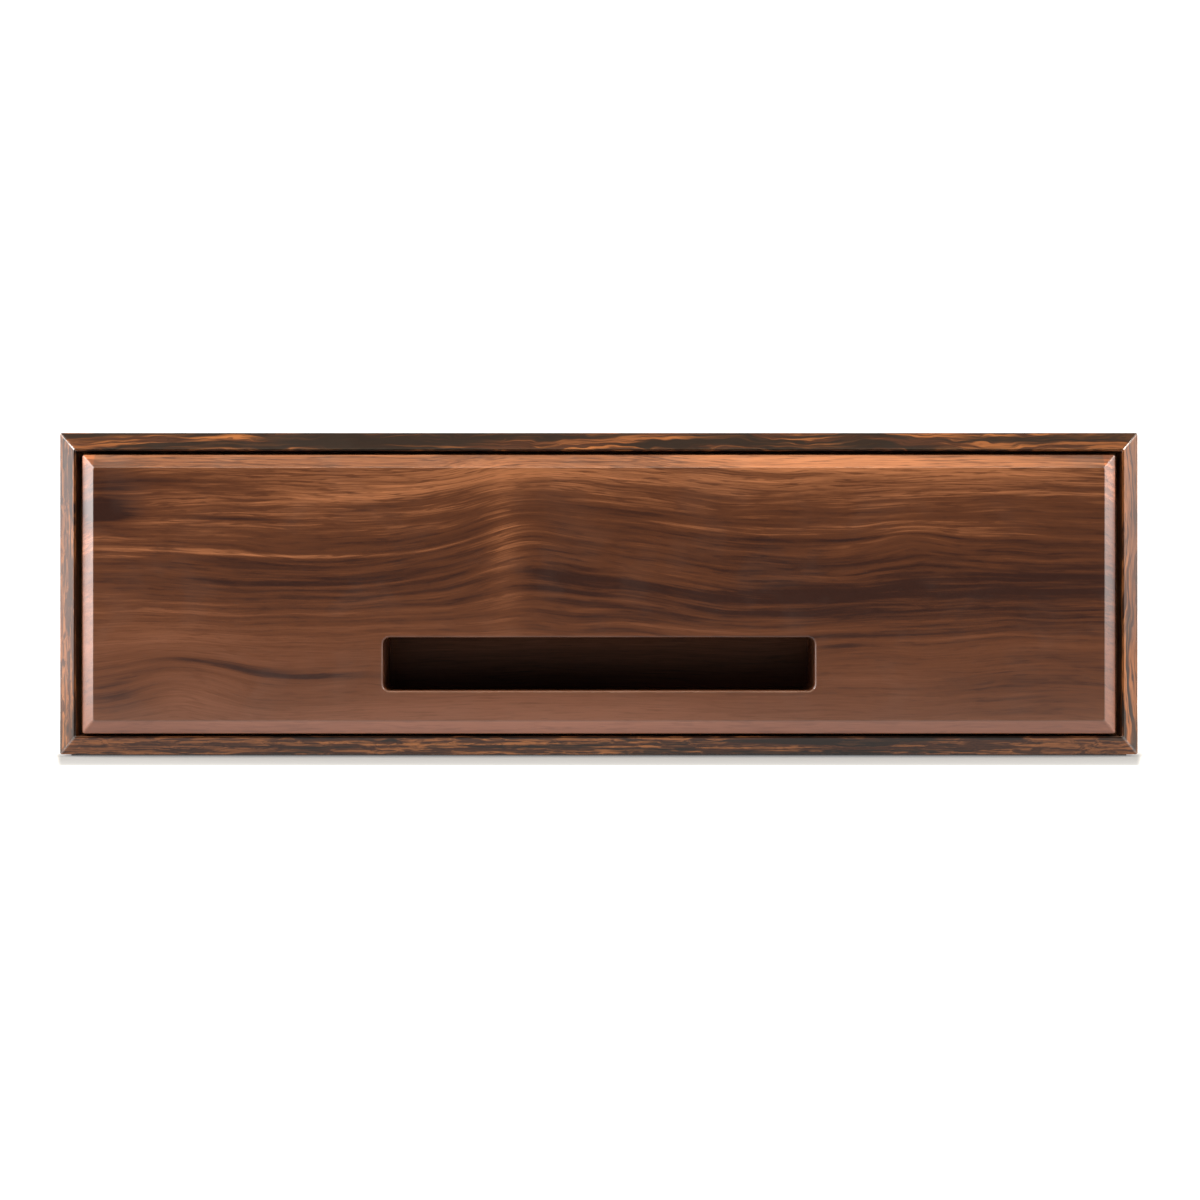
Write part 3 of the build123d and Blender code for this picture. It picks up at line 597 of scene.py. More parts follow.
thin = calc(tree, "ABSOLUTE", calc(tree, "SUBTRACT", hair, 0.5))
plug(tree, made["Hair"], step_between(tree, thin, 0.0, 0.06, 1.0, 0.0))
print(tree.name, "group:", len(tree.nodes), "nodes")

# %% Group: fine marks
mark_group, given, made = new_group(
    "Fine marks", {"Scale x": 1, "Scale y": 1, "Scale z": 1, "Detail": 3, "Roughness": 0.6},
    ["Marks", "Cells"])
tree = mark_group
at = place_mm(tree)
spot = vector(tree, *(calc(tree, "MULTIPLY", at[axis], given["Scale " + axis.lower()]) for axis in "XYZ"))
marks = noise(tree, spot, given["Detail"], given["Roughness"])
plug(tree, made["Marks"], marks)
plug(tree, made["Cells"], step_between(tree, marks, 0.3, 0.7))
print(tree.name, "group:", len(tree.nodes), "nodes")

# %% Group: finger smudges
smudge_group, given, made = new_group("Finger smudges", {"Size": 22, "Amount": 0.1}, ["Dulling"])
tree = smudge_group
at = place_mm(tree)
spot = vector(tree, *(calc(tree, "DIVIDE", at[axis], given["Size"]) for axis in "XYZ"))
touched = step_between(tree, noise(tree, spot, detail=3.0, roughness=0.6, distortion=0.4), 0.48, 0.68)
plug(tree, made["Dulling"], calc(tree, "MULTIPLY", touched, given["Amount"]))
print("groups:", sorted(g.name for g in bpy.data.node_groups))

# %% [markdown]
# ## Walnut with a satin finish
#
# The drawer front shows flat-sawn walnut: a peak left of the middle, a second hill low on the left, a
# dark knotty patch at the upper left and long smoky bands on the right. Each of these is one hill, and
# the lists below say where it lies and how far it reaches. The colour is then mixed from a pale, a brown
# and a nearly black tone by how dark the patterns make each point, and the finish is a thin satin coat.
# Painted light is mixed in as well: the pale tone grows paler towards the top, a few broad patches make the
# front lighter at the top and bottom and darker in the middle and at the right end, both partly the wood's
# own tone, and the bevels at the ends and below are painted lighter and warmer.

# %% Hills and shades of the walnut
RING_HILLS = [
    # middle along and across, half length and half width, height, all in mm
    (-36, 100, 25, 46, 6.0),
    (-6, 98, 44, 48, 7.5),
    (-122, 92, 58, 30, -3.5),
    (-181, 34, 28, 20, 9.0),
    (136, 95, 18, 12, 3.0),
    (60, 62, 60, 22, -3.0),
    (205, 40, 50, 30, 3.0),
]
SHADE_STREAKS = [
    # along, height on the rings, half length, half width, and how much darker. These bend with the grain.
    (86, 72.6, 34, 2.2, 0.95),
    (104, 70.6, 14, 2.0, 0.55),
    (12, 72.8, 50, 1.4, 0.55),
    (136, 74.6, 12, 2.0, 0.60),
    (192, 74.0, 34, 4.0, 0.45),
    (150, 78.0, 60, 1.4, 0.30),
    (60, 94.6, 110, 0.8, 0.50),
    (30, 100.8, 60, 0.8, 0.30),
    (30, 103.6, 50, 0.8, 0.30),
    (-157, 106.0, 26, 0.8, 0.45),
    (-165, 117.5, 28, 0.9, 0.40),
    (-128, 91.0, 80, 0.9, -0.55),
    (-105, 88.0, 90, 1.3, 0.22),
    (-140, 76.0, 100, 1.0, -0.30),
    (-150, 35.6, 42, 2.2, 0.85),
    (-186, 31.0, 20, 1.6, 0.40),
    (105, 49.5, 12, 1.6, 0.50),
    (70, 57.5, 60, 2.0, -0.35),
    (150, 56.0, 80, 4.5, 0.25),
    (150, 64.0, 60, 2.5, 0.25),
]
TONE_AND_PAINTED_LIGHT_PATCHES = [
    # the same, but fixed in height. Some rows are painted light and shade as well as the wood's tone
    (-217, 106.5, 14, 4.4, 1.5),
    (-214, 117, 14, 9, 0.55),
    (-190, 120.5, 16, 2.2, 0.40),
    (-210, 28, 16, 9, 0.45),
    (-176, 29, 24, 9, -0.45),
    (-190, 56, 40, 7, -0.35),
    (-41, 84, 9, 32, -0.38),
    (-14, 80, 17, 11, 0.35),
    (-130, 75, 90, 13, 0.32),
    (110, 76, 150, 19, 0.42),
    (30, 60, 90, 9, 0.30),
    # partly painted shade: the right end of the front is darker, partly the wood's own tone
    (215, 70, 40, 60, 0.20),
    (190, 30, 50, 12, 0.28),
    # rows across the whole front at 90, 130, 110 and 14 mm: partly painted light, partly the wood's tone,
    # lighter at the top and bottom and darker in the middle
    (0, 90, 260, 24, 0.12),
    (-60, 130, 300, 12, -0.25),
    (0, 110, 320, 22, -0.12),
    (-14, 108, 60, 22, 0.15),
    (0, 14, 260, 11, -0.35),
    (-20, 22, 90, 8, -0.20),
]
print("hills:", len(RING_HILLS), "streaks:", len(SHADE_STREAKS), "patches:", len(TONE_AND_PAINTED_LIGHT_PATCHES))

# %% Hills added up, and a satin finish
SMOOTH = 0.25


def sum_of_hills(tree, places, along, across):
    """Adds one hill group for each line of a list."""
    total = 0.0
    for middle_along, middle_across, half_length, half_breadth, height in places:
        made = use_group(tree, hill_group, along=along, across=across, middle_along=middle_along,
                         middle_across=middle_across, half_length=half_length, half_width=half_breadth,
                         height=height)
        total = calc(tree, "ADD", total, made["Height"])
    return total


def satin(tree, shader, fibre, gloss_marks, smudge_size, smudge_amount):
    """Roughness of a finish over open grain: the fibres dull it, and so do finger smudges here and there."""
    smudges = use_group(tree, smudge_group, size=smudge_size, amount=smudge_amount)["Dulling"]
    grain = calc(tree, "MULTIPLY_ADD", fibre, gloss_marks, SMOOTH)
    plug(tree, shader.inputs["Roughness"], calc(tree, "ADD", grain, smudges))


trial = bpy.data.node_groups.new("trial", "ShaderNodeTree")
sum_of_hills(trial, RING_HILLS, along=0.0, across=0.0)
print("nodes that add", len(RING_HILLS), "hills:", len(trial.nodes))
bpy.data.node_groups.remove(trial)

# %% Walnut
TILT = 0.35
# WALNUT_LOW is the pale tone low down, WALNUT_HIGH up high: partly tone, partly painted light from above.
WALNUT_LOW = (0.138, 0.052, 0.027, 1)
WALNUT_HIGH = (0.455, 0.180, 0.078, 1)
WALNUT_BROWN = (0.086, 0.028, 0.011, 1)
WALNUT_HEART = (0.024, 0.007, 0.004, 1)
WALNUT_PORE = (0.030, 0.011, 0.006, 1)
# The tint below is painted light: it makes the bevels lighter and warmer, as if lit.
BEVEL_PAINTED_LIGHT = (1.5, 1.28, 1.05, 1)
DARKENING = {"Band": 0.34, "Dash": 0.22, "Ripple": 0.34, "Line": 0.16}
FIBRE_CONTRAST = 0.8


def warm_bevels(tree, colour, at):
    """The two end bevels and the low one, which cut across the fibres, are painted lighter and warmer:
    painted light for the lamp and floor light that they catch. A point lies on one of them where it is beyond
    the flat field, and the larger of two distances tells that."""
    beside = calc(tree, "SUBTRACT", calc(tree, "ABSOLUTE", at["X"]), float(front_half[0]) - BEVEL)
    below = calc(tree, "SUBTRACT", float(front_low[2]) + BEVEL, at["Z"])
    cut = step_between(tree, calc(tree, "MAXIMUM", beside, below), 0.0, 0.6)
    return blend(tree, cut, colour, blend(tree, 1.0, colour, BEVEL_PAINTED_LIGHT, "MULTIPLY"))


def walnut_darkness(tree, rings, at, ring):
    """How dark the wood is: the streaks and patches from the lists, broken up by the ripple, plus a share of
    every pattern of the rings. Some patches are painted light and shade as well as tone. The fibres both
    darken and lighten, so half is taken from them first."""
    patches = calc(tree, "ADD", sum_of_hills(tree, SHADE_STREAKS, at["X"], ring),
                   sum_of_hills(tree, TONE_AND_PAINTED_LIGHT_PATCHES, at["X"], at["Z"]))
    dark = calc(tree, "MULTIPLY", patches, calc(tree, "MULTIPLY_ADD", rings["Ripple"], 0.9, 0.55))
    for pattern, share in DARKENING.items():
        dark = calc(tree, "MULTIPLY_ADD", rings[pattern], share, dark)
    return calc(tree, "MULTIPLY_ADD", calc(tree, "SUBTRACT", rings["Fibre"], 0.5), FIBRE_CONTRAST, dark)


def walnut(name, shade, gloss=1.0, further=0.0):
    """Satin walnut with its grain along X. Shade multiplies its colour as painted shade, standing in for the
    darkness deep in a recess, and gloss multiplies its shine. Further is how far along the plank a piece was
    cut, past the hills of the front."""
    material, tree, shader = new_material(name)
    at = place_mm(tree)
    at["X"] = calc(tree, "ADD", at["X"], further)
    hills = sum_of_hills(tree, RING_HILLS, at["X"], at["Z"])
    ring = calc(tree, "SUBTRACT", calc(tree, "MULTIPLY_ADD", at["Y"], TILT, at["Z"]), hills)
    ring = calc(tree, "ADD", ring, TILT * -y_field)
    rings = use_group(tree, ring_group, along=at["X"], ring=ring, depth=at["Y"], band_width=11.0,
                      line_width=2.6, start=40.0)
    pores = use_group(tree, pore_group, along=at["X"], across=ring, depth=at["Y"], length=7.0, width=0.4,
                      amount=0.5)["Pore"]
    dark = walnut_darkness(tree, rings, at, ring)
    # Paler towards the top: partly the wood's own tone and partly painted light from the lamp overhead.
    light = blend(tree, step_between(tree, at["Z"], 40.0, 110.0), WALNUT_LOW, WALNUT_HIGH)
    colour = blend(tree, step_between(tree, dark, -0.40, 0.50), light, WALNUT_BROWN)
    colour = blend(tree, step_between(tree, dark, 0.30, 1.30), colour, WALNUT_HEART)
    colour = blend(tree, calc(tree, "MULTIPLY", pores, 0.5), colour, WALNUT_PORE)
    # Painted shade: the colour is darkened by a factor, 1 where there is none.
    colour = blend(tree, 1.0, colour, (shade, shade, shade, 1), "MULTIPLY")
    # Painted light: the bevels of the front are tinted lighter and warmer.
    if not further:
        colour = warm_bevels(tree, colour, at)
    plug(tree, shader.inputs["Base Color"], colour)
    satin(tree, shader, rings["Fibre"], gloss_marks=0.14, smudge_size=24.0, smudge_amount=0.07)
    grain = calc(tree, "MULTIPLY_ADD", pores, -0.8, rings["Fibre"])
    plug(tree, shader.inputs["Normal"], bump(tree, grain, distance=0.00004, strength=0.5))
    shader.inputs["Specular IOR Level"].default_value = 0.48 * gloss
    shader.inputs["Coat Weight"].default_value = 0.06 * gloss
    shader.inputs["Coat Roughness"].default_value = 0.2
    return material


walnut_front.data.materials.append(walnut("satin_walnut", shade=1.0))
print("walnut nodes:", len(bpy.data.materials["satin_walnut"].node_tree.nodes))

# %% [markdown]
# ## Streaked hardwood under gloss lacquer
#
# The case is a showy tropical wood: orange to brown, with black streaks that run like ink in water. The
# grain follows each board, and because the boards are cut in a row from one plank, it flows round the
# corners. For that the distance along the grain is measured round the case and not along X alone, and a
# table says for each side which axis that is and where it starts.

# %% The plank that the case is cut from
turn_at = float(half_width + top_high[2])
top_face = float(top_high[2])
PLANK = {
    # axis of the grain, its way, where it starts, axis across, axis into the wood, where that starts
    "top": ("X", 1.0, 0.0, "Y", "Z", -top_face),
    "bottom": ("X", -1.0, 500.0, "Y", "Z", -top_face),
    "left": ("Z", 1.0, -turn_at, "Y", "X", 0.0),
    "right": ("Z", -1.0, turn_at, "Y", "X", 0.0),
    "back": ("X", 1.0, 1300.0, "Z", "Y", 0.0),
}
FRONT_EDGE = -140
CASE_DARK = [
    # along the grain, across it, half length, half width, how much darker
    (-108, FRONT_EDGE, 34, 16, 0.09),
    (-52, FRONT_EDGE, 24, 14, 0.03),
    (95, FRONT_EDGE, 68, 18, 0.09),
    (-190, FRONT_EDGE, 40, 16, 0.03),
    (-4, FRONT_EDGE, 18, 16, -0.04),
    (204, FRONT_EDGE, 24, 16, -0.02),
    (-310, FRONT_EDGE, 60, 22, 0.06),
    (310, FRONT_EDGE, 60, 22, 0.03),
    (385, FRONT_EDGE, 70, 16, 0.10),
    (480, FRONT_EDGE, 60, 16, 0.02),
    (640, FRONT_EDGE, 60, 16, 0.08),
]
SIDE_DARK = {"right": -0.09}
print("sides on the plank:", sorted(PLANK), "with", len(CASE_DARK), "darker or lighter places")

# %% Case wood
COAT = 0.08
ORANGE = (0.32, 0.118, 0.038, 1)
BROWN = (0.17, 0.062, 0.024, 1)
CASE_LAYERS = [
    # pattern, share, tone
    ("Lens", 0.95, (0.036, 0.015, 0.009, 1)),
    ("Fibre", 0.4, (0.06, 0.022, 0.012, 1)),
    ("Hair", 0.6, (0.018, 0.009, 0.006, 1)),
    ("Ink", 0.84, (0.013, 0.010, 0.008, 1)),
    ("Pore", 0.5, (0.008, 0.004, 0.003, 1)),
]


def mitre_coat(tree, at):
    """Lacquer gathers on the hips. A point is on a mitre where it lies as far beyond the opening's side as
    beyond its top or bottom, and the coat is thick for the first fraction of a millimetre from there."""
    sideways = calc(tree, "SUBTRACT", calc(tree, "ABSOLUTE", at["X"]), opening_half)
    upward = calc(tree, "ABSOLUTE", calc(tree, "SUBTRACT", at["Z"], opening_middle))
    from_mitre = calc(tree, "ADD", calc(tree, "SUBTRACT", sideways, upward), opening_high_half)
    return step_between(tree, calc(tree, "ABSOLUTE", from_mitre), 0.4, 1.0, 1.0, COAT)


def case_wood(name, side):
    """Glossy streaked hardwood for one side of the case. The back panel is cut from further along the plank
    and has no mitre to shine."""
    material, tree, shader = new_material(name)
    at = place_mm(tree)
    grain_axis, way, start, across_axis, depth_axis, depth_start = PLANK[side]
    along = calc(tree, "MULTIPLY_ADD", at[grain_axis], way, start)
    across = at[across_axis]
    depth = calc(tree, "ADD", at[depth_axis], depth_start)
    darker = calc(tree, "ADD", sum_of_hills(tree, CASE_DARK, along, across), SIDE_DARK.get(side, 0.0))
    ink = use_group(tree, ink_group, along=along, across=across, depth=depth, darker=darker, streak_width=4.5)
    rings = use_group(tree, ring_group, along=along, ring=across, depth=depth, band_width=5.0, line_width=1.4)
    pores = use_group(tree, pore_group, along=along, across=across, depth=depth, length=4.0, width=0.35,
                      amount=0.5)
    patterns = {"Lens": ink["Lens"], "Fibre": rings["Fibre"], "Hair": ink["Hair"], "Ink": ink["Ink"],
                "Pore": pores["Pore"]}
    colour = blend(tree, rings["Band"], ORANGE, BROWN)
    for pattern, share, tone in CASE_LAYERS:
        colour = blend(tree, calc(tree, "MULTIPLY", patterns[pattern], share), colour, tone)
    plug(tree, shader.inputs["Base Color"], colour)
    satin(tree, shader, rings["Fibre"], gloss_marks=0.15, smudge_size=30.0, smudge_amount=0.08)
    plug(tree, shader.inputs["Normal"], bump(tree, rings["Fibre"], distance=0.00003, strength=0.4))
    plug(tree, shader.inputs["Coat Weight"], COAT if side == "back" else mitre_coat(tree, at))
    shader.inputs["Specular IOR Level"].default_value = 0.10
    shader.inputs["Coat Roughness"].default_value = 0.08
    return material


for side, board in case_boards.items():
    board.data.materials.append(case_wood("case_wood_" + side, side))
print("case wood on", len(case_boards), "boards")

# %% [markdown]
# ## Spanish cedar, bare
#
# Humidors are lined with cedar that is left without any finish, because the wood itself keeps the damp
# in balance. It is pinkish tan and matt. Each board gets its own start along the rings, or every board
# would look cut from the same place.

# %% Cedar
AXES = {"X": ("X", "Z", "Y"), "Y": ("Y", "Z", "X"), "flat X": ("X", "Y", "Z")}
CEDAR = ((0.46, 0.262, 0.162, 1), (0.27, 0.124, 0.068, 1), (0.13, 0.054, 0.030, 1))
MAPLE = ((0.70, 0.54, 0.36, 1), (0.52, 0.36, 0.21, 1), (0.30, 0.19, 0.10, 1))
FIRST_START, NEXT_START = 11.0, 37.0
CEDAR_GRAIN = {
    "lining_top": "flat X", "lining_bottom": "flat X", "lining_left": "Y", "lining_right": "Y",
    "lining_back": "X", "stop_rail": "X", "drawer_inner_front": "X", "drawer_side_left": "Y",
    "drawer_side_right": "Y", "drawer_back": "X", "drawer_bottom": "flat X", "deck_wall": "X",
    "instrument_deck": "flat X", "deck_cleats": "Y", "divider_left": "Y", "divider_right": "Y",
}


def cedar(name, grain, start, tones=CEDAR):
    """Bare planed wood with its grain along one axis. Tones are its pale, dark and pore colours."""
    material, tree, shader = new_material(name)
    at = place_mm(tree)
    along, across, depth = (at[axis] for axis in AXES[grain])
    ring = calc(tree, "ADD", calc(tree, "MULTIPLY_ADD", depth, 0.5, across), start)
    rings = use_group(tree, ring_group, along=along, ring=ring, depth=depth, band_width=7.0, line_width=2.6,
                      start=start * 3.0)
    pores = use_group(tree, pore_group, along=along, across=across, depth=depth, length=7.0, width=0.4,
                      amount=0.5)["Pore"]
    dark = calc(tree, "MULTIPLY", rings["Band"], 0.55)
    dark = calc(tree, "MULTIPLY_ADD", rings["Line"], 0.3, dark)
    dark = calc(tree, "MULTIPLY_ADD", calc(tree, "SUBTRACT", rings["Fibre"], 0.5), 0.5, dark)
    colour = blend(tree, dark, tones[0], tones[1])
    colour = blend(tree, calc(tree, "MULTIPLY", pores, 0.4), colour, tones[2])
    plug(tree, shader.inputs["Base Color"], colour)
    plug(tree, shader.inputs["Roughness"], calc(tree, "MULTIPLY_ADD", rings["Fibre"], 0.15, 0.6))
    relief = calc(tree, "SUBTRACT", rings["Fibre"], pores)
    plug(tree, shader.inputs["Normal"], bump(tree, relief, distance=0.00006, strength=0.6))
    return material


def give(node, material):
    """Puts one material on a CAD node."""
    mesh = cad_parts[node].data
    mesh.materials.clear()
    mesh.materials.append(material)


for number, (node, grain) in enumerate(CEDAR_GRAIN.items()):
    give(node, cedar("cedar_" + node, grain, NEXT_START * number + FIRST_START))
print("cedar boards:", len(CEDAR_GRAIN))

# %% [markdown]
# ## The other finishes
#
# Small parts get plain finishes, each with the one thing that makes it believable: turned brass has fine
# rings, felt has fuzz, moulded plastic has a spark-eroded texture, foam has cells. What more than one of
# them needs, fine marks and finger smudges, comes from the groups above.

# %% Metals
POLISHED_BRASS = (0.83, 0.62, 0.28)
LATHE_MARKS = 5.0


def two_tones(tree, marks, colour, second_share):
    """A colour that turns to a darker one of its own kind where the marks are strong."""
    second = tuple(second_share * c for c in colour)
    return blend(tree, marks, (*colour, 1), (*second, 1))


def lathe_marks(tree, middle):
    """Fine rings: noise read by the distance from the turned piece's axis and by height, and not by angle."""
    at = place_mm(tree)
    offset = [calc(tree, "SUBTRACT", at[axis], float(centre)) for axis, centre in zip("XY", middle)]
    reach = calc(tree, "SQRT", calc(tree, "ADD", *(calc(tree, "MULTIPLY", v, v) for v in offset)))
    place = vector(tree, calc(tree, "MULTIPLY", reach, LATHE_MARKS),
                   calc(tree, "MULTIPLY", at["Z"], LATHE_MARKS), 0.0)
    return noise(tree, place, detail=3.0, roughness=0.6)


def metal(name, colour, roughness, scale, turned_about=None):
    """Metal with fine marks in its colour, gloss and surface. Turned metal has rings about a middle."""
    material, tree, shader = new_material(name)
    if turned_about is None:
        marks = use_group(tree, mark_group, scale_x=scale[0], scale_y=scale[1], scale_z=scale[2])["Marks"]
    else:
        marks = lathe_marks(tree, turned_about)
    smudges = use_group(tree, smudge_group, size=6.0, amount=0.1)["Dulling"]
    dulled = calc(tree, "ADD", calc(tree, "MULTIPLY_ADD", marks, 0.16, roughness), smudges)
    shader.inputs["Metallic"].default_value = 1.0
    plug(tree, shader.inputs["Base Color"], two_tones(tree, marks, colour, 0.8))
    plug(tree, shader.inputs["Roughness"], dulled)
    plug(tree, shader.inputs["Normal"], bump(tree, marks, distance=0.00001, strength=0.3))
    return material


brass = metal("polished_brass", POLISHED_BRASS, roughness=0.14, scale=(0.5, 0.5, 4.0))
screw_brass = metal("screw_brass", (0.74, 0.55, 0.26), roughness=0.26, scale=(2.0, 2.0, 2.0))
steel = metal("ground_steel", (0.60, 0.60, 0.61), roughness=0.28, scale=(0.4, 4.0, 6.0))
nickel = metal("nickel_plate", (0.72, 0.71, 0.69), roughness=0.16, scale=(1.0, 1.0, 1.0))
coil_metal = metal("coil_metal", (0.66, 0.47, 0.25), roughness=0.3, scale=(1.0, 1.0, 5.0))
print("metals:", [m.name for m in (brass, screw_brass, steel, nickel, coil_metal)])


# %% Felt and foam
def soft_stuff(name, colour, shadow, scale, depth, roughness):
    """Felt or foam: fine cells that both colour and dent the surface."""
    material, tree, shader = new_material(name)
    fuzz = use_group(tree, mark_group, scale_x=scale, scale_y=scale, scale_z=scale, detail=4.0, roughness=0.7)
    plug(tree, shader.inputs["Base Color"], blend(tree, fuzz["Cells"], (*shadow, 1), (*colour, 1)))
    shader.inputs["Roughness"].default_value = roughness
    shader.inputs["Sheen Weight"].default_value = 0.3
    plug(tree, shader.inputs["Normal"], bump(tree, fuzz["Marks"], distance=depth))
    return material


felt = {"scale": 2.0, "depth": 0.0003, "roughness": 0.95}
brown_felt = soft_stuff("seal_felt", (0.27, 0.13, 0.06), (0.11, 0.05, 0.024), **felt)
black_felt = soft_stuff("base_felt", (0.055, 0.052, 0.05), (0.015, 0.014, 0.013), **felt)
print("felts:", brown_felt.name, "and", black_felt.name)


# %% Plastic, paint and glass
def plastic(name, colour, roughness, scale):
    """Moulded plastic or paint with a fine even grain."""
    material, tree, shader = new_material(name)
    sparks = use_group(tree, mark_group, scale_x=scale, scale_y=scale, scale_z=scale, detail=2.0,
                       roughness=0.5)["Marks"]
    plug(tree, shader.inputs["Base Color"], two_tones(tree, sparks, colour, 0.86))
    plug(tree, shader.inputs["Roughness"], calc(tree, "MULTIPLY_ADD", sparks, 0.12, roughness))
    plug(tree, shader.inputs["Normal"], bump(tree, sparks, distance=0.00003, strength=0.5))
    return material


def clear_glass(name):
    """Thin clear glass."""
    material, _, shader = new_material(name)
    shader.inputs["Base Color"].default_value = (0.97, 0.99, 0.98, 1)
    shader.inputs["Roughness"].default_value = 0.02
    shader.inputs["IOR"].default_value = 1.5
    shader.inputs["Transmission Weight"].default_value = 1.0
    return material


black_plastic = plastic("black_plastic", (0.028, 0.028, 0.03), roughness=0.42, scale=4.0)
print("mouldings:", black_plastic.name)

# %% Finishes given to the small parts
back_wood = case_wood("case_wood_back", "back")
for node, material in (
    ("case_back", back_wood), ("mitre_splines", back_wood),
    # The cup inside the pull slot gets painted shade: darker walnut for the dark deep in the slot.
    ("pull_cup", walnut("shaded_cup_walnut", shade=0.7, gloss=0.3, further=2500.0)),
    ("runner_left", cedar("runner_wood_left", "Y", start=700.0, tones=MAPLE)),
    ("runner_right", cedar("runner_wood_right", "Y", start=760.0, tones=MAPLE)),
    ("hygrometer_case", brass), ("stop_button", brass),
    ("front_screws", screw_brass), ("pivot_screw", screw_brass),
    ("strike_plates", steel), ("hygrometer_arbor", steel), ("catch_magnets", nickel),
    ("humidity_coil", coil_metal), ("front_seal", brown_felt), ("base_felt", black_felt),
    ("hygrometer_dial", plastic("dial_enamel", (0.86, 0.84, 0.77), roughness=0.4, scale=3.0)),
    ("hygrometer_needle", plastic("needle_paint", (0.02, 0.02, 0.022), roughness=0.35, scale=3.0)),
    ("hygrometer_glass", clear_glass("clear_glass")),
    ("humidifier_case", black_plastic), ("humidifier_cover", black_plastic),
    ("humidifier_shutter", black_plastic),
):
    give(node, material)
print("materials:", len(bpy.data.materials))

# %% [markdown]
# ## The little humidity dial
#
# The instrument in the deck is the one thing in the drawer that is looked at from close by. Its bezel is
# turned on a lathe, so the natural way to draw it is the lathe's: a section, carried once round an axis.
# The grip on its rim is a wave added to the radius. The scale is printed ink, which stands a hair above the
# enamel, and it holds plain numbers and one green band for the damp that cigars like.

# %% Turned bezel
GRIPS = 60
TURN_STEPS = 5 * GRIPS
GRIP_DEPTH = 0.22
GRIP_FROM_FOOT = 0.3
GRIP_FROM_TOP = 0.9
GRIP_FADE = 0.5
BEAD = 0.7
BEAD_WIDTH = 2.4
LIP_INSIDE = 14.8
SECTION_SPACING = 0.3
GLASS_ROOM = 0.1
_, dial_high = box_mm("hygrometer_dial")
glass_low, glass_high = box_mm("hygrometer_glass")
bezel_low, bezel_high = box_mm("hygrometer_bezel")
dial_middle = (bezel_low + bezel_high) / 2


def resampled(outline, spacing):
    """The same closed outline with points at an even spacing along it."""
    closed = np.concatenate([outline, outline[:1]])
    walked = np.concatenate([[0], np.cumsum(np.linalg.norm(np.diff(closed, axis=0), axis=1))])
    count = int(round(walked[-1] / spacing))
    at = np.arange(count) * walked[-1] / count
    return np.stack([np.interp(at, walked, closed[:, 0]), np.interp(at, walked, closed[:, 1])], axis=1)


def turned_bezel_points():
    """Radius and height of the section, turned about the dial. On the outer wall the radius loses a wave,
    and the wave fades out towards the foot and the bead."""
    outer, foot, top = (bezel_high[0] - bezel_low[0]) / 2, bezel_low[2], bezel_high[2]
    seat, lip = (glass_high[0] - glass_low[0]) / 2 + GLASS_ROOM, glass_high[2]
    section = rounded_corners(
        [(outer, foot), (outer, top - BEAD), (outer - BEAD, top), (outer - BEAD_WIDTH, top),
         (LIP_INSIDE, lip + 0.5), (LIP_INSIDE, lip), (seat, lip), (seat, foot)],
        [0.15, 0.5, 0.5, 0.8, 0.15, 0.05, 0.1, 0.1], support=0.05)
    section = resampled(section, SECTION_SPACING)
    radius, height = section[:, 0], section[:, 1]
    from_foot = np.clip((height - foot - GRIP_FROM_FOOT) / GRIP_FADE, 0, 1)
    from_top = np.clip((top - GRIP_FROM_TOP - height) / GRIP_FADE, 0, 1)
    grip = (radius > outer - 0.1) * from_foot * from_top
    angle = np.arange(TURN_STEPS) / TURN_STEPS * 2 * math.pi
    wave = (0.5 + 0.5 * np.cos(GRIPS * angle))[:, None] * grip * GRIP_DEPTH
    reach = radius - wave
    x = dial_middle[0] + reach * np.cos(angle)[:, None]
    y = dial_middle[1] + reach * np.sin(angle)[:, None]
    return np.stack([x, y, np.broadcast_to(height, x.shape)], axis=-1)


points = turned_bezel_points()
quads = grid_quads(*points.shape[:2], wrap_rows=True, wrap_columns=True)
turned_bezel = new_piece("turned_bezel", points.reshape(-1, 3), quads[:, ::-1], "drawer", "brass",
                         ["hygrometer_bezel"], sharp=50)
turned_bezel.data.materials.append(metal("turned_brass", POLISHED_BRASS, 0.12, None, dial_middle))
print("bezel:", len(turned_bezel.data.polygons), "faces")

# %% Strips of ink
INK_HEIGHT = 0.05
SWEEP_DEGREES = 270.0
ink_low, ink_high = dial_high[2], dial_high[2] + INK_HEIGHT


def dial_direction(percent):
    """Unit vectors from the dial's middle for humidities in percent: 50 points to the back of the box."""
    angle = np.radians((np.asarray(percent, float) / 100 - 0.5) * SWEEP_DEGREES)
    return np.stack([np.sin(angle), np.cos(angle)], axis=-1)


def strips(middle, direction, length, breadth):
    """Thin closed boxes of ink, one per row. Each corner is the middle plus half its length along a direction
    and half its breadth across it."""
    signs = np.array([(a, b, c) for a in (-1, 1) for b in (-1, 1) for c in (0, 1)], float)
    across = np.stack([-direction[:, 1], direction[:, 0]], axis=-1)
    flat = (middle[:, None] + signs[None, :, :1] * (direction * length[:, None] / 2)[:, None]
            + signs[None, :, 1:2] * (across * breadth[:, None] / 2)[:, None])
    height = np.broadcast_to(ink_low + (ink_high - ink_low) * signs[None, :, 2:], (len(middle), 8, 1))
    points = np.concatenate([flat, height], axis=-1)
    box = np.array([(0, 1, 3, 2), (4, 6, 7, 5), (0, 4, 5, 1), (2, 3, 7, 6), (0, 2, 6, 4), (1, 5, 7, 3)])
    faces = (box[None] + 8 * np.arange(len(middle))[:, None, None]).reshape(-1, 4)
    return points.reshape(-1, 3), faces


print("0, 50 and 100 percent point to", dial_direction([0, 50, 100]).round(2).tolist())

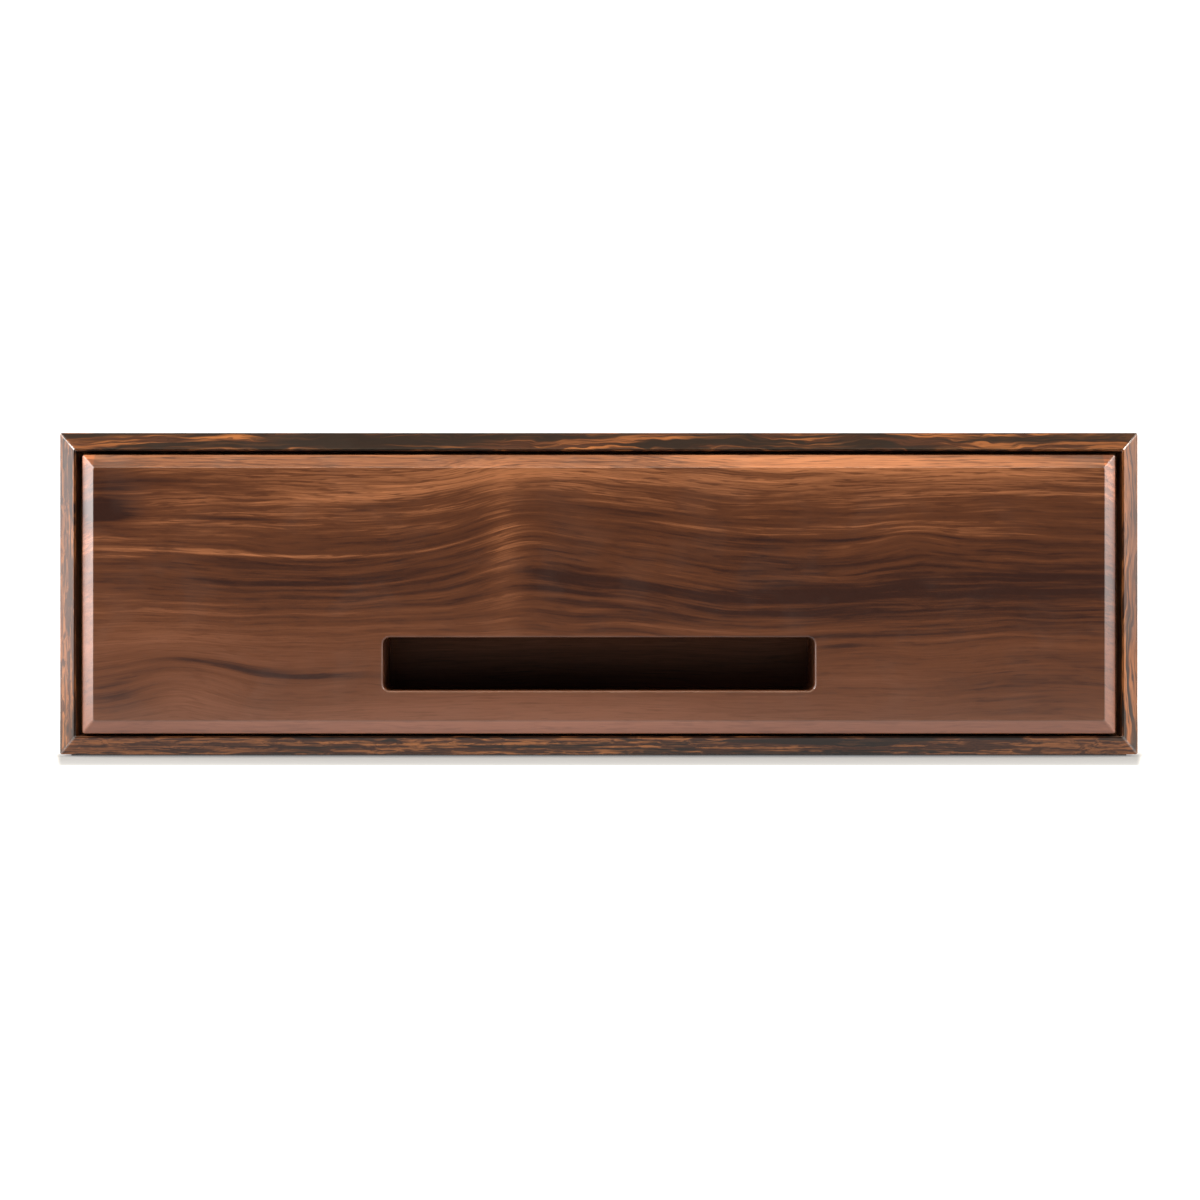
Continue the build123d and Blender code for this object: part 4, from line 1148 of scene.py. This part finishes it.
# %% Ticks and the green band
TICK_RADIUS = 15.6
LONG_TICK, SHORT_TICK = (1.9, 0.34), (1.0, 0.18)
BAND_RADIUS = 16.1
BAND_WIDTH = 0.6
BAND_PERCENT = (65, 75)
BAND_OVERLAP = 1.03
percent = np.arange(0, 101, 2)
major = percent % 10 == 0
tick_length, tick_width = np.where(major[:, None], LONG_TICK, SHORT_TICK).T
toward = dial_direction(percent)
tick_middle = dial_middle[:2] + toward * (TICK_RADIUS - tick_length / 2)[:, None]
dial_ticks = new_piece("dial_ticks", *strips(tick_middle, toward, tick_length, tick_width), "drawer",
                       "needle_paint")

band = np.linspace(*BAND_PERCENT, 33)
toward = dial_direction((band[:-1] + band[1:]) / 2)
side = np.stack([toward[:, 1], -toward[:, 0]], axis=-1)
step_length = BAND_RADIUS * math.radians(SWEEP_DEGREES / 100) * (band[1] - band[0]) * BAND_OVERLAP
points, faces = strips(dial_middle[:2] + toward * BAND_RADIUS, side, np.full(len(side), step_length),
                       np.full(len(side), BAND_WIDTH))
comfort_band = new_piece("comfort_band", points, faces, "drawer", "dial_paint")
print("dial:", int(major.sum()), "long and", int((~major).sum()), "short ticks")

# %% Numbers on the dial
NUMBER_RADIUS = 11.4
NUMBER_SIZE = 3.0


def dial_number(value):
    """Plain digits as a thin solid, upright, with their middle on the dial's circle."""
    curve = bpy.data.curves.new("digits", "FONT")
    curve.body = str(value)
    curve.size = NUMBER_SIZE * MM
    curve.extrude = INK_HEIGHT / 2 * MM
    curve.align_x = curve.align_y = "CENTER"
    holder = bpy.data.objects.new("digits", curve)
    scene.collection.objects.link(holder)
    bpy.context.view_layer.update()
    mesh = bpy.data.meshes.new_from_object(holder)
    bpy.data.objects.remove(holder)
    place = dial_middle[:2] + dial_direction(value) * NUMBER_RADIUS
    flat = np.empty(len(mesh.vertices) * 3)
    mesh.vertices.foreach_get("co", flat)
    flat = flat.reshape(-1, 3) + np.array([*place, (ink_low + ink_high) / 2]) * MM
    mesh.vertices.foreach_set("co", flat.ravel())
    return mesh


digits = bmesh.new()
for value in range(0, 101, 20):
    digits.from_mesh(dial_number(value))
bmesh.ops.remove_doubles(digits, verts=digits.verts, dist=1e-7)
mesh = bpy.data.meshes.new("dial_numbers")
digits.to_mesh(mesh)
digits.free()
dial_numbers = bpy.data.objects.new("dial_numbers", mesh)
scene.collection.objects.link(dial_numbers)
finish_piece(dial_numbers, "drawer")
black_ink = plastic("dial_ink", (0.022, 0.022, 0.024), roughness=0.5, scale=6.0)
green_ink = plastic("band_ink", (0.06, 0.24, 0.09), roughness=0.5, scale=6.0)
for piece, ink in ((dial_ticks, black_ink), (dial_numbers, black_ink), (comfort_band, green_ink)):
    piece.data.materials.append(ink)
print("numbers:", len(dial_numbers.data.polygons), "faces")

# %% [markdown]
# ## Edges that hands have rubbed
#
# Nothing in a workshop leaves with a knife-sharp edge. The pieces that hands reach, such as the dividers, the
# turn button, the humidifier's cover and the screw heads, get a copy of their CAD shape with its loose
# triangles merged, flat faces joined again and the edges taken off by a bevel modifier. Pieces that meet
# flush in a joint keep their sharp edges, because a soft edge there would open a groove that a planed joint
# doesn't have.

# %% Eased copies
EASED = [
    # node, body, slot, width of the soft edge in mm
    ("divider_left", "divider_left", "cedar", 0.7),
    ("divider_right", "divider_right", "cedar", 0.7),
    ("deck_wall", "drawer", "cedar", 0.5),
    ("stop_rail", "case", "cedar", 0.6),
    ("stop_button", "stop_button", "brass", 0.4),
    ("case_back", "case", "case_wood", 0.6),
    ("humidifier_cover", "humidifier_cover", "black_plastic", 0.35),
    ("humidifier_shutter", "humidifier_shutter", "black_plastic", 0.2),
    ("front_screws", "drawer", "screw_brass", 0.25),
    ("pivot_screw", "drawer", "screw_brass", 0.2),
]
SAME_POINT = 1e-6
SAME_PLANE = math.radians(0.5)
EDGE_ANGLE = math.radians(40)


def eased_copy(node, body, width):
    """A merged copy of a CAD node whose edges are taken off where they turn by more than an angle."""
    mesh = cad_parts[node].data.copy()
    work = bmesh.new()
    work.from_mesh(mesh)
    bmesh.ops.remove_doubles(work, verts=work.verts, dist=SAME_POINT)
    bmesh.ops.dissolve_limit(work, angle_limit=SAME_PLANE, verts=work.verts, edges=work.edges)
    work.to_mesh(mesh)
    work.free()
    piece = bpy.data.objects.new("eased_" + node, mesh)
    scene.collection.objects.link(piece)
    soft = piece.modifiers.new("soft edge", "BEVEL")
    soft.limit_method = "ANGLE"
    soft.angle_limit = EDGE_ANGLE
    soft.width = width * MM
    soft.segments = 2
    finish_piece(piece, body, [node], sharp=35)
    return piece


for node, body, slot, width in EASED:
    piece = eased_copy(node, body, width)
    print(piece.name, len(piece.data.polygons), "faces before its bevel")

# %% [markdown]
# ## The water sponge
#
# The foam in the humidifier is cut, not moulded: its sides are straight and its top is a little uneven. It
# is a stack of rounded rectangles. They go up the side at full size and then shrink almost to a point over
# the top, and a few waves sink parts of that top by up to half a millimetre.

# %% Foam block
FOAM_WAVE = 0.35
FOAM_CORNER = 1.5
EVEN_FOOT = 2.0
TAPER = (0.02, 0.95)
UNDER_STEPS, OVER_STEPS = 12, 26
SIDE_SHRINK = [0.99, 1, 1, 1, 1, 0.99, 0.97]
SIDE_FROM_FOOT = [0.1, 0.5, 2]
SIDE_FROM_TOP = [2, 0.7, 0.3, 0.1]
foam_low, foam_high = box_mm("humidifier_sponge")


def top_waves(x, y):
    """Two slow waves that cross, and a quicker and smaller one over them."""
    slow = np.sin(0.31 * x + 0.5) * np.sin(0.43 * y + 1.1)
    quick = np.sin(0.83 * x - 0.37 * y) * np.sin(0.9 * y + 0.6 * x)
    return slow + 0.5 * quick


def foam_points():
    """Rings of a rounded block. A ring's size and height follow its number, and waves in X and Y lower it."""
    half = (foam_high - foam_low) / 2
    middle = (foam_high + foam_low) / 2
    low, high = foam_low[2], foam_high[2]
    shrink = np.concatenate([np.linspace(*TAPER, UNDER_STEPS), SIDE_SHRINK,
                             np.linspace(*TAPER[::-1], OVER_STEPS)])
    side = [*(low + up for up in SIDE_FROM_FOOT), *(high - down for down in SIDE_FROM_TOP)]
    height = np.concatenate([np.full(UNDER_STEPS, low), side, np.full(OVER_STEPS, high)])
    corner = np.minimum(FOAM_CORNER, half[1] * shrink * 0.9)
    rings = rounded_rectangles(half[0] * shrink, half[1] * shrink, corner)
    x, y = rings[..., 0] + middle[0], rings[..., 1] + middle[1]
    top_share = np.clip((height - low - EVEN_FOOT) / (high - low - EVEN_FOOT), 0, 1)[:, None]
    z = height[:, None] - FOAM_WAVE * top_share * (0.75 + 0.5 * top_waves(x, y))
    return np.stack([x, y, z], axis=-1)


points = foam_points()
rows, columns = points.shape[:2]
caps = [list(range(columns))[::-1], list(range((rows - 1) * columns, rows * columns))]
faces = [*grid_quads(rows, columns, wrap_columns=True).tolist(), *caps]
foam_block = new_piece("foam_block", points.reshape(-1, 3), faces, "drawer", "sponge", ["humidifier_sponge"])
cut_foam = soft_stuff("cut_foam", (0.22, 0.40, 0.18), (0.05, 0.12, 0.05), scale=0.9, depth=0.0008,
                      roughness=0.9)
foam_block.data.materials.append(cut_foam)
print("foam:", rows, "rings of", columns, "points")

# %% [markdown]
# ## Inside or outside
#
# A face has a front, and it has to look out of the wood and not into it. A mesh that is turned inside out
# looks right from afar, but its shading and its thickness are wrong. The signed volume tells the two apart:
# it is positive when the faces of a closed mesh point outwards.


# %% Volumes of the new pieces
def volume_mm3(piece):
    """Signed volume: positive when the faces of a closed mesh point outwards."""
    work = bmesh.new()
    work.from_mesh(piece.data)
    volume = work.calc_volume(signed=True)
    work.free()
    return volume / MM**3


new_pieces = [*case_boards.values(), walnut_front, turned_bezel, dial_ticks, comfort_band, dial_numbers,
              foam_block]
for piece in new_pieces:
    print(piece.name, "volume", round(volume_mm3(piece), 2), "mm3")

# %% [markdown]
# ## The studio
#
# The floor and the wall behind are one sheet that curves up, so that no line shows where they meet. It is
# a profile carried sideways: flat, a quarter circle, and upright.
#
# A glossy front mirrors the floor before it, and a bright floor would lay a grey veil over the walnut. So
# the paper is darker ahead of the box, while a glow that only the camera's rays see keeps it white in the
# picture. Along the front edge a narrow strip of painted shadow darkens the paper, like the shade under a
# thing that stands on felt.

# %% Floor
SWEEP_FRONT, SWEEP_BACK, SWEEP_HEIGHT, SWEEP_RADIUS, SWEEP_HALF = -1.15, 1.6, 3.0, 0.8, 3.5
BEND_STEPS = 24


def studio_sweep():
    """A sheet along X whose section is a straight floor, a quarter circle and a straight wall."""
    bend = np.linspace(0, math.pi / 2, BEND_STEPS + 1)
    arc_y = SWEEP_BACK - SWEEP_RADIUS + SWEEP_RADIUS * np.sin(bend)
    arc_z = SWEEP_RADIUS * (1 - np.cos(bend))
    y = np.concatenate([[SWEEP_FRONT], arc_y, [SWEEP_BACK]])
    z = np.concatenate([[0.0], arc_z, [SWEEP_HEIGHT]])
    x = np.array([-SWEEP_HALF, SWEEP_HALF])
    points = np.stack([np.broadcast_to(x[:, None], (2, len(y))), np.broadcast_to(y, (2, len(y))),
                       np.broadcast_to(z, (2, len(z)))], axis=-1).reshape(-1, 3)
    mesh = bpy.data.meshes.new("studio_sweep")
    mesh.from_pydata(points.tolist(), [], grid_quads(2, len(y))[:, ::-1].tolist())
    mesh.shade_smooth()
    sweep = bpy.data.objects.new("studio_sweep", mesh)
    scene.collection.objects.link(sweep)
    return sweep


sweep = studio_sweep()
print("floor:", len(sweep.data.polygons), "faces")

# %% White paper
PAPER_NEAR, PAPER_AHEAD = 0.7, 0.12
GLOW_NEAR, GLOW_WHITE = 0.45, 1.1
# The strip is a painted shadow: these values darken the paper and weaken its glow along the front edge.
STRIP_NEAR, STRIP_FAR = 0.30, 0.44
PAINTED_SHADOW_DARKENING = 0.80
FLOOR_SHINE = 1.3
PERSPECTIVE = 0.21
# distances in mm, each from where a change begins to where it ends
BESIDE_BOX = (28.0, 33.0)
FRONT_STARTS = (90.0, 140.0)
STRIP_FADES = (150.0, 205.0)
STRIP_ENDS = (194.0, 208.0)
SHINE_ENDS = (230.0, 260.0)
PAPER_DARKENS = (220.0, 420.0)
WHITENS_AHEAD = (150.0, 300.0)
WHITENS_ROUND = (260.0, 620.0)


def in_front_of_box(tree, ahead):
    """0 under the middle of the box and behind it, and 1 from just inside its front edge onwards."""
    return step_between(tree, ahead, *FRONT_STARTS)


def shaded_strip(tree, at, ahead):
    """The mask of a painted shadow: 1 on a strip of the floor along the front edge and 0 elsewhere. Its ends
    draw in further ahead of the box: the camera sees nearer things larger, and in the picture they end below
    the box's sides."""
    widened = calc(tree, "MULTIPLY_ADD", ahead, PERSPECTIVE, calc(tree, "ABSOLUTE", at["X"]))
    beside = step_between(tree, widened, *(half_width + reach for reach in BESIDE_BOX), 1.0, 0.0)
    near = step_between(tree, ahead, *STRIP_ENDS, 1.0, 0.0)
    return calc(tree, "MULTIPLY", calc(tree, "MULTIPLY", beside, in_front_of_box(tree, ahead)), near)


def studio_paper():
    """White paper. The camera sees it glow evenly white, apart from the strip of painted shadow. To the box
    it is plain paper that darkens ahead, and that shines along the front edge."""
    material, tree, shader = new_material("studio_paper")
    shader.inputs["Roughness"].default_value = 0.9
    shader.inputs["Specular IOR Level"].default_value = 0.0
    shader.inputs["Emission Color"].default_value = (1, 1, 1, 1)
    seen = tree.nodes.new("ShaderNodeLightPath").outputs["Is Camera Ray"]
    at = place_mm(tree)
    ahead = calc(tree, "MULTIPLY", at["Y"], -1.0)
    squares = [calc(tree, "MULTIPLY", at[axis], at[axis]) for axis in "XY"]
    away = calc(tree, "SQRT", calc(tree, "ADD", *squares))
    strip = shaded_strip(tree, at, ahead)
    paper = step_between(tree, ahead, *PAPER_DARKENS, PAPER_NEAR, PAPER_AHEAD)
    # Painted shadow: the paper is darker on the strip.
    paper = calc(tree, "MULTIPLY", paper, calc(tree, "MULTIPLY_ADD", strip, -PAINTED_SHADOW_DARKENING, 1.0))
    plug(tree, shader.inputs["Base Color"], blend(tree, paper, (0, 0, 0, 1), (1, 1, 1, 1)))
    glow = calc(tree, "MAXIMUM", step_between(tree, away, *WHITENS_ROUND, GLOW_NEAR, GLOW_WHITE),
                step_between(tree, ahead, *WHITENS_AHEAD, GLOW_NEAR, GLOW_WHITE))
    # Painted shadow: the strip glows less to the camera.
    glow = calc(tree, "MULTIPLY", glow, calc(tree, "SUBTRACT", 1.0, strip))
    strip_glow = step_between(tree, ahead, *STRIP_FADES, STRIP_NEAR, STRIP_FAR)
    glow = calc(tree, "MULTIPLY_ADD", strip, strip_glow, glow)
    shine = step_between(tree, ahead, *SHINE_ENDS, FLOOR_SHINE, 0.0)
    shine = calc(tree, "MULTIPLY", in_front_of_box(tree, ahead), shine)
    unseen = calc(tree, "MULTIPLY", calc(tree, "SUBTRACT", 1.0, seen), shine)
    plug(tree, shader.inputs["Emission Strength"], calc(tree, "MULTIPLY_ADD", seen, glow, unseen))
    return material


sweep.data.materials.append(studio_paper())
print("paper:", len(bpy.data.materials["studio_paper"].node_tree.nodes), "nodes")

# %% [markdown]
# ## Lamps
#
# Five soft boxes light the wood. A large one on the left makes the bevels gleam, a weaker one stands on the
# right, and a warm one hangs overhead. The last two are small and stand where a mirror on the hips of the
# upper corners would show them to the camera, because a hip is too thin to shine in anything else. The
# world around is white to the camera and almost dark to the box.

# %% Lamps
LAMPS = [
    # name, place and aim in metres, size in metres, watts, colour
    ("left_box", (-1.15, -0.10, 0.42), (0, -0.10, 0.07), (1.1, 0.9), 25, (1.0, 0.97, 0.95)),
    ("right_box", (1.25, -0.10, 0.42), (0, -0.10, 0.07), (1.0, 0.8), 14, (1.0, 0.96, 0.93)),
    ("top_box", (0.0, -0.56, 1.10), (0, -0.15, 0.07), (1.5, 0.4), 24, (1.0, 0.89, 0.72)),
    ("corner_left", (-1.22, -0.37, 0.96), (-0.23, -0.14, 0.14), (0.22, 0.30), 8, (1.0, 0.97, 0.92)),
    ("corner_right", (1.22, -0.37, 0.96), (0.23, -0.14, 0.14), (0.22, 0.30), 8, (1.0, 0.96, 0.90)),
]


def softbox(name, place, aim, size, watts, colour):
    """A rectangular area light at place that points at aim. The first angle tips it from looking down to the
    direction, and the last one turns it about the vertical."""
    light = bpy.data.lights.new(name, "AREA")
    light.shape = "RECTANGLE"
    light.size, light.size_y = size
    light.energy = watts
    light.color = colour
    lamp = bpy.data.objects.new(name, light)
    scene.collection.objects.link(lamp)
    lamp.location = place
    direction = np.array(aim, float) - np.array(place, float)
    direction /= np.linalg.norm(direction)
    across = np.cross(direction, (0, 0, 1))
    lamp.rotation_euler = (math.acos(-direction[2]), 0, math.atan2(across[1], across[0]))
    lamp.visible_camera = False


for lamp in LAMPS:
    softbox(*lamp)

# %% White all round
WORLD_TO_CAMERA, WORLD_TO_BOX = 1.1, 0.05
world = bpy.data.worlds.new("studio_world")
scene.world = world
world.use_nodes = True
tree = world.node_tree
background = tree.nodes["Background"]
seen = tree.nodes.new("ShaderNodeLightPath").outputs["Is Camera Ray"]
background.inputs["Color"].default_value = (1, 1, 1, 1)
plug(tree, background.inputs["Strength"],
     calc(tree, "MULTIPLY_ADD", seen, WORLD_TO_CAMERA - WORLD_TO_BOX, WORLD_TO_BOX))
print("world:", world.name, "is", WORLD_TO_CAMERA, "to the camera and", WORLD_TO_BOX, "to the box")
